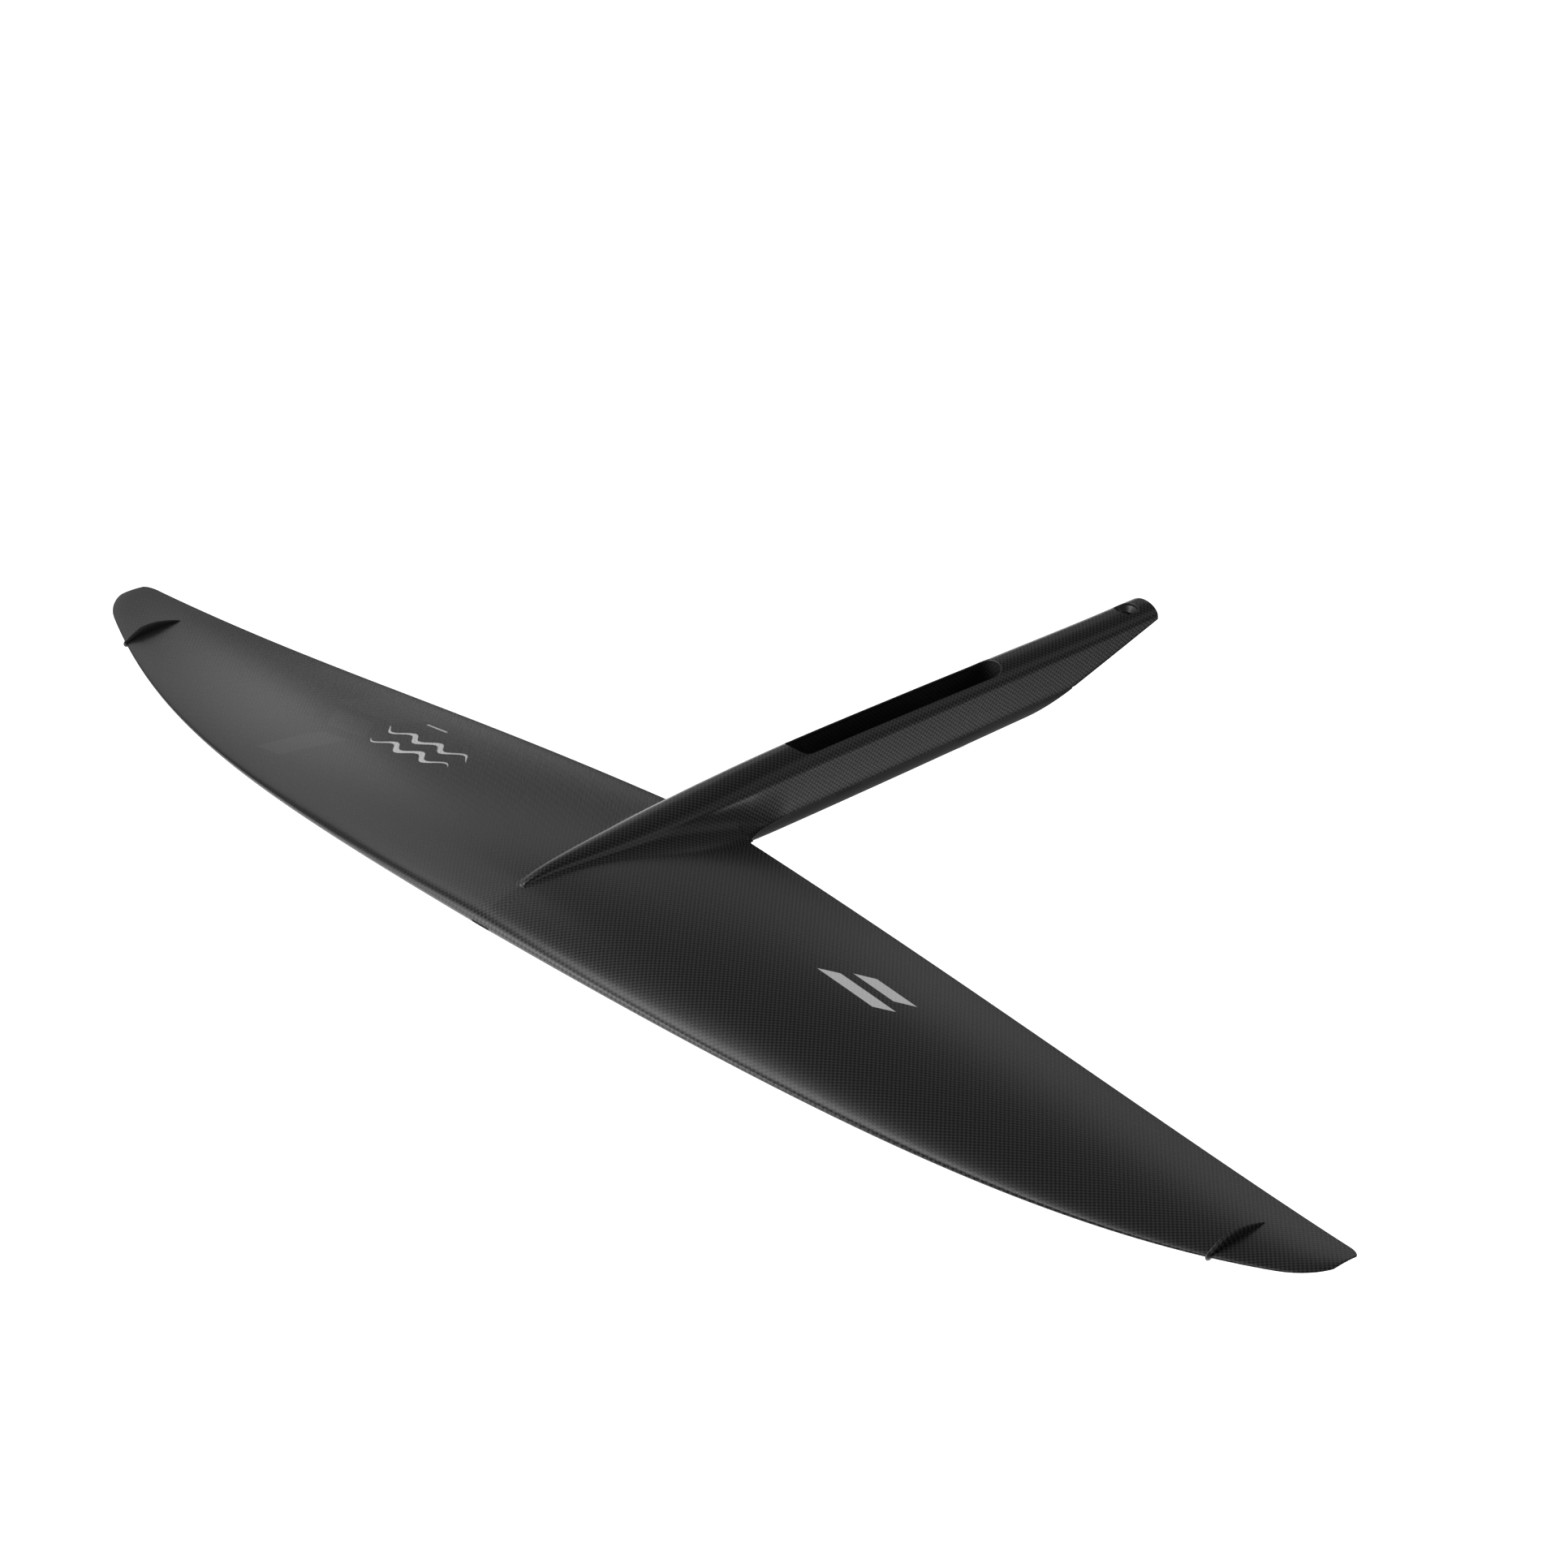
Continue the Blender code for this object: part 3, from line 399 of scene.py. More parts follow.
# Openings in the skins: middle along Y, straight half length, half width, end length, and the
# power of the ends' curve.
Opening = namedtuple("Opening", "middle straight half end power")
ROUND = 2.0
SLOT = Opening(SOCKET_Y, SOCKET_HALF_LENGTH - SOCKET_END, SOCKET_HALF_WIDTH, SOCKET_END, SOCKET_POWER)
TAIL_HOLE = Opening(TAIL_HOLE_Y, 0.0, TAIL_HOLE_RADIUS, TAIL_HOLE_RADIUS, ROUND)
SCREW_HOLE = Opening(TAIL_HOLE_Y, 0.0, TAIL_SCREW_RADIUS, TAIL_SCREW_RADIUS, ROUND)
BOLT_Y = (SOCKET_Y - MAST_BOLT_SPACING / 2.0, SOCKET_Y + MAST_BOLT_SPACING / 2.0)
BELLY_HOLES = [Opening(y, 0.0, BUSH_FLANGE + GAP, BUSH_FLANGE + GAP, ROUND) for y in BOLT_Y]
END_STEPS = 12
END_MARGIN = 0.0008          # kept free of ordinary rows round an opening's ends
LEAST_ROW_STEP = 0.00002
# Close rows just behind the wing, where the notch beside the fuselage is rounded.
NOTCH_ROWS = (0.16175, 0.16183, 0.16195, 0.1621, 0.1623, 0.1626, 0.1630)


def hole_width(holes, y):
    """Half width of whichever opening crosses y, with its rounded rim."""
    for hole in holes:
        past = abs(y - hole.middle) - hole.straight
        reach = hole.end + RIM_ROUND
        if past < reach - 1e-9:
            share = max(past, 0.0) / reach
            return (hole.half + RIM_ROUND) * (1.0 - share ** hole.power) ** (1.0 / hole.power)
    return 0.0


def body_rows(holes):
    """Rows aft of the wing: closer together in the fillet and round the openings' ends."""
    ends = []
    zones = []
    for hole in holes:
        reach = hole.end + RIM_ROUND
        for hand in (-1.0, 1.0):
            for k in range(END_STEPS + 1):
                past = reach * math.sin(math.pi / 2.0 * k / END_STEPS) ** (2.0 / hole.power)
                ends.append(hole.middle + hand * (hole.straight + past))
            limits = (hole.middle + hand * hole.straight, hole.middle + hand * (hole.straight + reach))
            zones.append((min(limits) - END_MARGIN, max(limits) + END_MARGIN))
    rows = (list(NOTCH_ROWS) + spread(0.1635, 0.2020, 34)
            + spread(0.2050, FUSELAGE_END - END_ROUND, 110))
    rows = [y for y in rows if not any(low < y < high for low, high in zones)]
    merged = []
    for y in sorted(rows + ends):
        if not merged or y - merged[-1] > LEAST_ROW_STEP:
            merged.append(y)
    return merged


WING_STATIONS = ([0.0, 0.00002, 0.00007, 0.00016, 0.0003, 0.0005, 0.0008, 0.0012, 0.0018, 0.0026, 0.0036,
                  0.0048, 0.0062, 0.0080, 0.0100, 0.0122, 0.0147, 0.0175, 0.0205, 0.0232, 0.0252, 0.0264,
                  RIDGE_START, 0.0275, 0.0281, 0.0289, 0.0299, 0.0312, 0.0328, 0.0348, 0.0372, 0.0400,
                  0.0430]
                 + spread(0.0465, 0.1565, 34)
                 + [0.1590, 0.1604, ROOT_CHORD - 0.0005, ROOT_CHORD - 0.0003, ROOT_CHORD - 0.00016,
                    ROOT_CHORD - 0.00007, ROOT_CHORD - 0.00002, ROOT_CHORD])
NEAR_COLUMNS = (0.06, 0.16, 0.32, 0.54, 0.78, 1.0)
NEAR_END = 0.044
FAR_COLUMNS = (spread(0.050, 0.440, 66) + [0.445, 0.450, 0.455, 0.459, 0.4625, 0.4655, 0.468, 0.470,
               0.4715, 0.4726, 0.4732, HALF_SPAN - 0.0005, HALF_SPAN - 0.0003, HALF_SPAN - 0.00016,
               HALF_SPAN - 0.00007, HALF_SPAN - 0.00002, HALF_SPAN])


# Mesh building ------------------------------------------------------------------------------
def place(name, bm, material, replaced):
    """Makes a piece of a bmesh drawn in the design frame, and rides it on the body."""
    bmesh.ops.recalc_face_normals(bm, faces=bm.faces)
    if bm.calc_volume(signed=True) < 0.0:
        bmesh.ops.reverse_faces(bm, faces=bm.faces)
    mesh = bpy.data.meshes.new(name)
    bm.to_mesh(mesh)
    bm.free()
    mesh.transform(Matrix.Translation(ORIGIN))
    mesh.shade_smooth()
    mesh.set_sharp_from_angle(angle=math.radians(SHARP_ANGLE))
    mesh.materials.append(material)
    piece = bpy.data.objects.new(name, mesh)
    bpy.context.scene.collection.objects.link(piece)
    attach(piece, "root")
    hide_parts(replaced)
    return piece


def half_rows(side, holes):
    """Rows of one half: (hole width, wall, points), each point (x, y, z, girth, patch)."""
    profile = upper_row if side > 0 else lower_row
    rows = []
    for station in WING_STATIONS:
        points = []
        girth = 0.0
        before = None
        for x, z in profile(min(station, ROOT_CHORD - 1e-7), 0.0):
            girth += math.dist((x, z), before) if before else 0.0
            before = (x, z)
            points.append((x, row_y(x, station), z, girth, 1.0))
        foot = points[-1][0]
        for x in [foot + (NEAR_END - foot) * share for share in NEAR_COLUMNS] + FAR_COLUMNS:
            y = row_y(x, station)
            z = wing_z(x, y, side)
            girth += math.dist((x, z), before)
            before = (x, z)
            points.append((x, y, z, girth, 0.0))
        rows.append((0.0, None, points))
    for y in body_rows(holes):
        rows.append(body_row(profile, y, hole_width(holes, y), y, None, 0.0))
    for angle in (math.pi / 8.0, math.pi / 4.0, 3.0 * math.pi / 8.0, math.pi / 2.0):
        y = FUSELAGE_END - END_ROUND + END_ROUND * math.sin(angle)
        inset = END_ROUND * (1.0 - math.cos(angle))
        rows.append(body_row(profile, y, 0.0, y, END_SKIN, inset))
    return rows


def body_row(profile, station, hole, y, wall, inset):
    """One row across the fuselage; inset shrinks it towards the middle of its open side."""
    outline = profile(station, hole)
    edge_z = outline[-1][1]
    reach = max(abs(z - edge_z) for x, z in outline)
    width = max(x for x, z in outline)
    points = []
    girth = 0.0
    before = None
    for x, z in outline:
        x *= 1.0 - inset / width
        z = edge_z + (z - edge_z) * (1.0 - min(inset / reach, 0.5))
        girth += math.dist((x, z), before) if before else x
        before = (x, z)
        points.append((x, y, z, girth, 1.0))
    return hole, wall, points


def belly_dull_and_side_shade(side, y, column):
    """0 for full gloss, 1 for the belly's own dull finish; low on the sides behind the wing it rises as
    painted shade, dimming the sides' reflection towards the bottom.
    """
    if side < 0:
        return 1.0
    behind_wing = min(max((y - SIDE_SHADE_START) / SIDE_SHADE_FADE, 0.0), 1.0)
    return behind_wing * column / (DOME + len(SIDE))


def skin_inner(vert, side, wall, hole, column):
    """Where the inside of a skin lies under one of its outer points."""
    x, y, z = vert.co
    on_wing = y <= trailing_edge(x) + 1e-6 and abs(x) < HALF_SPAN + 1e-6
    if on_wing:
        middle = wing_middle(x, y)
        raised = abs(z - middle) > wing_half(x, y) + RAISED
        thickness = min(body_wall(y) if raised else WING_SKIN, THIN_SHARE * abs(z - middle))
    else:
        middle = parting_z(min(y, FUSELAGE_END))
        room = max(abs(z - middle), (1.0 - fillet_curl(y)) * LEAST_ROOM)
        thickness = min(wall or BODY_SKIN, THIN_SHARE * room)
    point = vert.co - vert.normal * thickness
    if hole > 0.0:
        least = hole + 0.00002 * column
        if column == 0:
            point = vert.co - Vector((0.0, 0.0, side * thickness))
        elif abs(point.x) < least:
            point.x = math.copysign(least, vert.co.x)
    if side > 0:
        point.z = max(point.z, middle + PARTING)
    else:
        point.z = min(point.z, middle - PARTING)
    return point


def round_rim(bm, ring, depth, side):
    """Adds a rounded lip and a wall inside an opening's edge; returns the wall's last ring."""
    count = len(ring)
    lips = []
    for k, vert in enumerate(ring):
        along = ring[(k + 1) % count].co - ring[k - 1].co
        inward = Vector((along.y, -along.x, 0.0)).normalized()
        middle = sum((v.co for v in ring), Vector()) / count
        if inward.dot(middle - vert.co) < 0.0:
            inward = -inward
        lip = []
        for step in (1, 2, 3, 4):
            angle = step * math.pi / 8.0
            drop = RIM_ROUND * (1.0 - math.cos(angle))
            lip.append(vert.co + inward * RIM_ROUND * math.sin(angle) - Vector((0.0, 0.0, side * drop)))
        lip.append(lip[-1] - Vector((0.0, 0.0, side * (depth - RIM_ROUND))))
        lips.append([bm.verts.new(point) for point in lip])
    chain = [[vert] + lip for vert, lip in zip(ring, lips)]
    for k in range(count):
        here = chain[k]
        there = chain[(k + 1) % count]
        for step in range(len(here) - 1):
            bm.faces.new((here[step], there[step], there[step + 1], here[step + 1]))
    return {vert: lip[-1] for vert, lip in zip(ring, lips)}


def build_skin(node, side, holes, material):
    """A fine closed skin: outer grid, inner grid, rims, and lips round its openings."""
    bm = bmesh.new()
    cloth = bm.verts.layers.float_vector.new("cloth")
    body_cloth = bm.verts.layers.float_vector.new("body_cloth")
    rows = half_rows(side, holes)
    facts = {}
    grids = {}
    for hand in (1, -1):
        grid = []
        for number, (hole, wall, points) in enumerate(rows):
            line = []
            for column, (x, y, z, girth, patch) in enumerate(points):
                if hand < 0 and column == 0 and hole == 0.0:
                    line.append(grids[1][number][0])
                    continue
                vert = bm.verts.new((hand * x, y, z))
                vert[cloth] = (hand * x, y, patch)
                vert[body_cloth] = (hand * girth, y, patch * belly_dull_and_side_shade(side, y, column))
                facts[vert] = (wall, hole, column)
                line.append(vert)
            grid.append(line)
        grids[hand] = grid
    for hand, grid in grids.items():
        for near, far in zip(grid, grid[1:]):
            for k in range(min(len(near), len(far)) - 1):
                quad = (near[k], near[k + 1], far[k + 1], far[k])
                bm.faces.new(quad if hand * side > 0 else tuple(reversed(quad)))
    end_z = grids[1][-1][-1].co.z
    hub = bm.verts.new((0.0, FUSELAGE_END, end_z))
    hub[cloth] = (0.0, FUSELAGE_END, 1.0)
    facts[hub] = (END_SKIN, 0.0, 0)
    for hand in (1, -1):
        last = grids[hand][-1]
        for k in range(len(last) - 1):
            triangle = (last[k], last[k + 1], hub)
            bm.faces.new(triangle if hand * side > 0 else tuple(reversed(triangle)))
    bm.normal_update()
    twin = {vert: bm.verts.new(skin_inner(vert, side, *facts[vert])) for vert in facts}
    outer_faces = list(bm.faces)
    boundary = [edge for edge in bm.edges if len(edge.link_faces) == 1]
    rings = hole_rings(grids, rows)
    foot = {}
    for ring in rings:
        foot.update(round_rim(bm, ring, BODY_SKIN, side))
    for face in outer_faces:
        bm.faces.new([twin[vert] for vert in reversed(face.verts)])
    for edge in boundary:
        first, second = edge.verts
        start = foot.get(first, first) if second in foot else first
        finish = foot.get(second, second) if first in foot else second
        bm.faces.new((start, finish, twin[second], twin[first]))
    place(f"fine_{node}", bm, material, node)


def hole_rings(grids, rows):
    """The closed loop of grid points round each opening."""
    rings = []
    number = 1
    while number < len(rows):
        if rows[number][0] > 0.0 and rows[number - 1][0] == 0.0:
            last = number
            while rows[last][0] > 0.0:
                last += 1
            right = [grids[1][k][0] for k in range(number, last)]
            left = [grids[-1][k][0] for k in range(number, last)]
            rings.append([grids[1][number - 1][0]] + right + [grids[1][last][0]] + left[::-1])
            number = last
        number += 1
    return rings


# Socket and bushes --------------------------------------------------------------------------
def socket_outline(grow, count=12):
    """The mast socket's plan; grow moves it outwards."""
    straight = SOCKET_HALF_LENGTH - SOCKET_END
    quarter = []
    for k in range(count + 1):
        angle = math.pi / 2.0 * k / count
        across = (SOCKET_HALF_WIDTH + grow) * math.cos(angle) ** (2.0 / SOCKET_POWER)
        along = straight + (SOCKET_END + grow) * math.sin(angle) ** (2.0 / SOCKET_POWER)
        quarter.append((across, along))
    side = [(SOCKET_HALF_WIDTH + grow, y) for y in spread(-straight, straight, 30)[1:-1]]
    half = [(x, -y) for x, y in reversed(quarter)] + side + quarter
    outline = half + [(-x, y) for x, y in reversed(half[1:-1])]
    return [(x, y + SOCKET_Y) for x, y in outline]


def dome_surface(x, y):
    half = dome_half(y)
    rise = crest_z(y) - shoulder_z(y)
    return shoulder_z(y) + rise * math.sqrt(max(1.0 - (x / half) ** 2, 0.0))


def build_socket(material):
    """The mast's socket: smooth walls, a rounded foot and a floor with its two screw holes."""
    bm = bmesh.new()
    bottom = SOCKET_FLOOR_Z - SOCKET_FLOOR
    inner = socket_outline(0.0)
    outer = socket_outline(SOCKET_WALL)
    rim = [dome_surface(x, y) - BODY_SKIN - SOCKET_TOP_GAP for x, y in inner]
    layers = [[(x, y, bottom) for x, y in outer],
              [(x, y, z) for (x, y), z in zip(outer, rim)],
              [(x, y, z) for (x, y), z in zip(inner, rim)],
              [(x, y, SOCKET_FLOOR_Z + SOCKET_FOOT_ROUND) for x, y in inner]]
    for step in (1, 2, 3, 4):
        angle = step * math.pi / 8.0
        shrink = SOCKET_FOOT_ROUND * (1.0 - math.cos(angle))
        height = SOCKET_FLOOR_Z + SOCKET_FOOT_ROUND * (1.0 - math.sin(angle))
        layers.append([(x, y, height) for x, y in socket_outline(-shrink)])
    rings = [[bm.verts.new(point) for point in layer] for layer in layers]
    count = len(inner)
    for low, high in zip(rings, rings[1:]):
        for k in range(count):
            bm.faces.new((low[k], low[(k + 1) % count], high[(k + 1) % count], high[k]))
    bm.faces.new(list(reversed(rings[0])))
    bm.faces.new(rings[-1])
    socket = place("fine_mast_socket", bm, material, "mast_socket")
    for y in BOLT_Y:
        cut_round(socket, (0.0, y), MAST_BOLT_HOLE, bottom - CUT_MARGIN, SOCKET_FLOOR_Z + CUT_MARGIN)


def cut_round(piece, centre, radius, low, high):
    """Cuts a round hole and keeps the result as plain mesh."""
    bm = bmesh.new()
    place_at = Matrix.Translation(ORIGIN + Vector((centre[0], centre[1], (low + high) / 2.0)))
    bmesh.ops.create_cone(bm, cap_ends=True, segments=64, radius1=radius, radius2=radius,
                          depth=high - low, matrix=place_at)
    mesh = bpy.data.meshes.new("round_cutter")
    bm.to_mesh(mesh)
    bm.free()
    cutter = bpy.data.objects.new("round_cutter", mesh)
    bpy.context.scene.collection.objects.link(cutter)
    boolean = piece.modifiers.new("hole", "BOOLEAN")
    boolean.operation = "DIFFERENCE"
    boolean.solver = "EXACT"
    boolean.object = cutter
    bpy.context.view_layer.update()
    result = bpy.data.meshes.new_from_object(piece.evaluated_get(bpy.context.evaluated_depsgraph_get()))
    piece.modifiers.clear()
    piece.data = result
    bpy.data.objects.remove(cutter, do_unlink=True)


def build_turned(name, profile, centre, material, replaced, segments=72):
    """A ring turned from a closed profile of (radius, z) points about a vertical axis."""
    bm = bmesh.new()
    rings = []
    for k in range(segments):
        angle = 2.0 * math.pi * k / segments
        rings.append([bm.verts.new((centre[0] + r * math.cos(angle), centre[1] + r * math.sin(angle), z))
                      for r, z in profile])
    count = len(profile)
    for k in range(segments):
        here = rings[k]
        there = rings[(k + 1) % segments]
        for step in range(count):
            bm.faces.new((here[step], there[step], there[(step + 1) % count], here[(step + 1) % count]))
    place(name, bm, material, replaced)


def rounded(points, radius, steps=3):
    """A closed profile with each corner cut to a small arc."""
    result = []
    count = len(points)
    for k in range(count):
        here = Vector(points[k])
        before = Vector(points[k - 1]) - here
        after = Vector(points[(k + 1) % count]) - here
        reach = min(radius, before.length * 0.4, after.length * 0.4)
        start = here + before.normalized() * reach
        finish = here + after.normalized() * reach
        for step in range(steps + 1):
            t = step / steps
            result.append(tuple((1 - t) ** 2 * start + 2 * t * (1 - t) * here + t ** 2 * finish))
    return result


def build_bushes(steel, anodised):
    """Two countersunk bushes in the belly and the cup in the tail."""
    sleeve_top = SOCKET_FLOOR_Z - SOCKET_FLOOR - BUSH_TOP_GAP
    flange_top = BUSH_BOTTOM_Z + BUSH_FLANGE_HEIGHT
    mouth = BUSH_FLANGE - BUSH_RIM
    mast = [(BUSH_FLANGE, flange_top), (BUSH_FLANGE, BUSH_BOTTOM_Z), (mouth, BUSH_BOTTOM_Z),
            (MAST_BOLT_HOLE, BUSH_BOTTOM_Z + mouth - MAST_BOLT_HOLE), (MAST_BOLT_HOLE, sleeve_top),
            (BUSH_SLEEVE, sleeve_top), (BUSH_SLEEVE, flange_top)]
    for name, y in zip(("front", "rear"), BOLT_Y):
        build_turned(f"fine_mast_bush_{name}", rounded(mast, BUSH_EDGE), (0.0, y), steel,
                     f"mast_bolt_bush_{name}")
    rim = TAIL_HOLE_RADIUS - CUP_GAP
    cone_bottom = TAIL_BUSH_TOP_Z - (rim - CUP_LIP - TAIL_SCREW_RADIUS)
    tail = [(rim - CUP_LIP, TAIL_BUSH_TOP_Z), (rim, TAIL_BUSH_TOP_Z), (rim, TAIL_BUSH_TOP_Z - CUP_RIM),
            (TAIL_SCREW_RADIUS + CUP_WALL, cone_bottom - CUP_BOTTOM),
            (TAIL_SCREW_RADIUS, cone_bottom - CUP_BOTTOM), (TAIL_SCREW_RADIUS, cone_bottom)]
    build_turned("fine_tail_bush", rounded(tail, CUP_EDGE), (0.0, TAIL_HOLE_Y), anodised,
                 "tail_bolt_bush")


# Tip fences ---------------------------------------------------------------------------------
# Height, and width as a share, by the distance aft of the leading edge; below it, under the wing.
fence_height = through((-0.0050, 0.0003), (-0.0030, 0.0010), (-0.0010, 0.0015), (0.0, 0.0017),
                       (0.0020, 0.0022), (0.0060, 0.0035), (0.0120, FENCE_HEIGHT), (0.0190, 0.0046),
                       (0.0270, 0.0033), (0.0340, 0.0017), (FENCE_LENGTH, 0.0003))
fence_share = through((-0.0050, 0.15), (-0.0030, 0.65), (0.0, 1.0), (0.0180, 1.0), (0.0280, 0.75),
                      (FENCE_LENGTH, 0.12))
FENCE_STOPS = [-0.0050, -0.0043, -0.0035, -0.0025, -0.0018, -0.0012, -0.0007, -0.0003, -0.0001, 0.0,
               0.0001, 0.0003, 0.0007, 0.0012, 0.0018, 0.0026, 0.0036] + spread(0.005, FENCE_LENGTH, 30)


def build_fence(side, hand, material):
    """A low blade that wraps round the leading edge and runs out aft to a point."""
    surface = []
    for stop in FENCE_STOPS:
        y = leading_edge(FENCE_X) + abs(stop)
        surface.append(Vector((y, wing_z(FENCE_X, y, 1 if stop > 0 else -1))))
    bm = bmesh.new()
    cloth = bm.verts.layers.float_vector.new("cloth")
    body_cloth = bm.verts.layers.float_vector.new("body_cloth")
    rings = []
    for k, stop in enumerate(FENCE_STOPS):
        along = surface[min(k + 2, len(FENCE_STOPS) - 1)] - surface[max(k - 2, 0)]
        out = Vector((-along.y, along.x)).normalized()
        base = surface[k] - out * FENCE_ROOT
        height = fence_height(stop) + FENCE_ROOT
        half = FENCE_WIDTH * fence_share(stop) / 2.0
        ring = []
        for step in range(FENCE_PROFILE + 1):
            angle = math.pi * step / FENCE_PROFILE
            across = half * math.cos(angle)
            rise = height * math.sin(angle) ** FENCE_CROWN
            spot = base + out * rise
            vert = bm.verts.new((hand * (FENCE_X + across), spot.x, spot.y))
            vert[cloth] = (vert.co.x, vert.co.y, 0.0)
            vert[body_cloth] = (rise, vert.co.y, 0.0)
            ring.append(vert)
        rings.append(ring)
    for near, far in zip(rings, rings[1:]):
        for k in range(FENCE_PROFILE + 1):
            beside = (k + 1) % (FENCE_PROFILE + 1)
            bm.faces.new((near[k], near[beside], far[beside], far[k]))
    bm.faces.new(rings[0])
    bm.faces.new(list(reversed(rings[-1])))
    place(f"fine_tip_fence_{side}", bm, material, f"tip_fence_{side}")


# Materials ----------------------------------------------------------------------------------
# The floor's painted light and painted shade, by the distance from the origin along a heading to the right
# and aft: it glows under the wing, which washes out the wing's shadow, glows more to its right to light the
# fuselage's sides in their reflections, and is painted dark beyond.
FLOOR_HEADING = (0.85, 0.53)
FLOOR_PAINTED_LIGHT = (0.12, 0.42)    # between these it rises from left to right
FLOOR_PAINTED_SHADE = (0.51, 0.64)     # between these it goes out
# Glow strengths: painted light under the wing and to its right, and the faint glow of the painted shade
# beyond.
PAINTED_LIGHT_LEFT = 0.90
PAINTED_LIGHT_RIGHT = 2.10
PAINTED_SHADE_GLOW = 0.04
CLOTH_TILT = 0.06            # how far the body's cloth is turned from its axis
# Marks on the wing.  Bars: middle, half length, half width, slant.  Waves: middle, half length,
# half width, swing, wavelength.
WHITE_BARS = (((0.1730, 0.0985), 0.0200, 0.0036, 1.3), ((0.1800, 0.1115), 0.0145, 0.0036, 1.3),
              ((-0.1915, 0.1265), 0.0085, 0.0007, 0.0))
WHITE_WAVES = (((-0.1700, 0.0900), 0.0330, 0.0022, 0.0035, 0.0220),
               ((-0.1740, 0.1060), 0.0380, 0.0022, 0.0035, 0.0220))
TONE_BARS = (((-0.2330, 0.1250), 0.0270, 0.0115, 0.6), ((-0.2290, 0.0960), 0.0170, 0.0095, -0.9),
             ((-0.2280, 0.0620), 0.0110, 0.0170, 0.5))


class Paint:
    """One node material, with short forms for the nodes that it is built of."""

    def __init__(self, name):
        self.material = bpy.data.materials.new(name)
        self.material.use_nodes = True
        self.tree = self.material.node_tree
        self.shader = self.tree.nodes["Principled BSDF"]

    def node(self, kind, **settings):
        node = self.tree.nodes.new(kind)
        for key, value in settings.items():
            setattr(node, key, value)
        return node

    def feed(self, socket, value):
        if isinstance(value, bpy.types.NodeSocket):
            self.tree.links.new(value, socket)
        else:
            socket.default_value = value

    def math(self, operation, *values):
        node = self.node("ShaderNodeMath", operation=operation)
        for socket, value in zip(node.inputs, values):
            self.feed(socket, value)
        return node.outputs[0]

    def plus(self, first, second):
        return self.math("ADD", first, second)

    def minus(self, first, second):
        return self.math("SUBTRACT", first, second)

    def times(self, first, second):
        return self.math("MULTIPLY", first, second)

    def below(self, first, second):
        return self.math("LESS_THAN", first, second)

    def size(self, value):
        return self.math("ABSOLUTE", value)

    def mix(self, factor, first, second):
        node = self.node("ShaderNodeMix", data_type="FLOAT")
        self.feed(node.inputs["Factor"], factor)
        self.feed(node.inputs["A"], first)
        self.feed(node.inputs["B"], second)
        return node.outputs["Result"]

    def blend(self, factor, first, second):
        node = self.node("ShaderNodeMix", data_type="RGBA")
        self.feed(node.inputs[0], factor)
        self.feed(node.inputs[6], first)
        self.feed(node.inputs[7], second)
        return node.outputs[2]

    def split(self, vector):
        node = self.node("ShaderNodeSeparateXYZ")
        self.feed(node.inputs[0], vector)
        return node.outputs

    def join(self, x, y, z=0.0):
        node = self.node("ShaderNodeCombineXYZ")
        for socket, value in zip(node.inputs, (x, y, z)):
            self.feed(socket, value)
        return node.outputs[0]

    def attribute(self, name):
        return self.split(self.node("ShaderNodeAttribute", attribute_name=name).outputs["Vector"])

    def place(self):
        return self.split(self.node("ShaderNodeTexCoord").outputs["Object"])

    def noise(self, vector, scale, detail=2.0):
        node = self.node("ShaderNodeTexNoise")
        self.feed(node.inputs["Vector"], vector)
        node.inputs["Scale"].default_value = scale
        node.inputs["Detail"].default_value = detail
        return node.outputs[0]

    def ramp(self, value, first, last):
        """0 before first, 1 after last, smooth between."""
        node = self.node("ShaderNodeMapRange", interpolation_type="SMOOTHSTEP")
        self.feed(node.inputs["Value"], value)
        node.inputs["From Min"].default_value = first
        node.inputs["From Max"].default_value = last
        return node.outputs["Result"]

    def bump(self, height, strength, distance):
        node = self.node("ShaderNodeBump")
        node.inputs["Strength"].default_value = strength
        node.inputs["Distance"].default_value = distance
        self.feed(node.inputs["Height"], height)
        self.feed(self.shader.inputs["Normal"], node.outputs[0])

    def set(self, **values):
        for key, value in values.items():
            self.feed(self.shader.inputs[key.replace("_", " ")], value)
        return self.material


def grey(level):
    return (level, level, level, 1.0)


def weave(paint, u, v):
    """Plain cloth: (which tow is on top, height, fibre streaks) at cloth place u, v."""
    wave_u = paint.math("SINE", paint.times(u, math.pi / TOW))
    wave_v = paint.math("SINE", paint.times(v, math.pi / TOW))
    warp = paint.math("GREATER_THAN", paint.times(wave_u, wave_v), 0.0)
    size_u = paint.size(wave_u)
    size_v = paint.size(wave_v)
    across = paint.mix(warp, size_v, size_u)
    along = paint.mix(warp, size_u, size_v)
    height = paint.times(paint.math("POWER", across, 0.45), paint.math("POWER", along, 0.6))
    fine_u = paint.join(paint.times(u, 7000.0), paint.times(v, 500.0))
    fine_v = paint.join(paint.times(u, 500.0), paint.times(v, 7000.0))
    fibres = paint.mix(warp, paint.noise(fine_v, 1.0), paint.noise(fine_u, 1.0))
    return warp, height, fibres


def slanted_bar(paint, x, y, centre, half_length, half_width, slant):
    """1 inside a bar along X whose ends lean by slant."""
    across = paint.minus(y, centre[1])
    lean = paint.times(across, slant)
    along = paint.minus(paint.minus(x, centre[0]), lean)
    between_sides = paint.below(paint.size(across), half_width)
    between_ends = paint.below(paint.size(along), half_length)
    return paint.times(between_sides, between_ends)


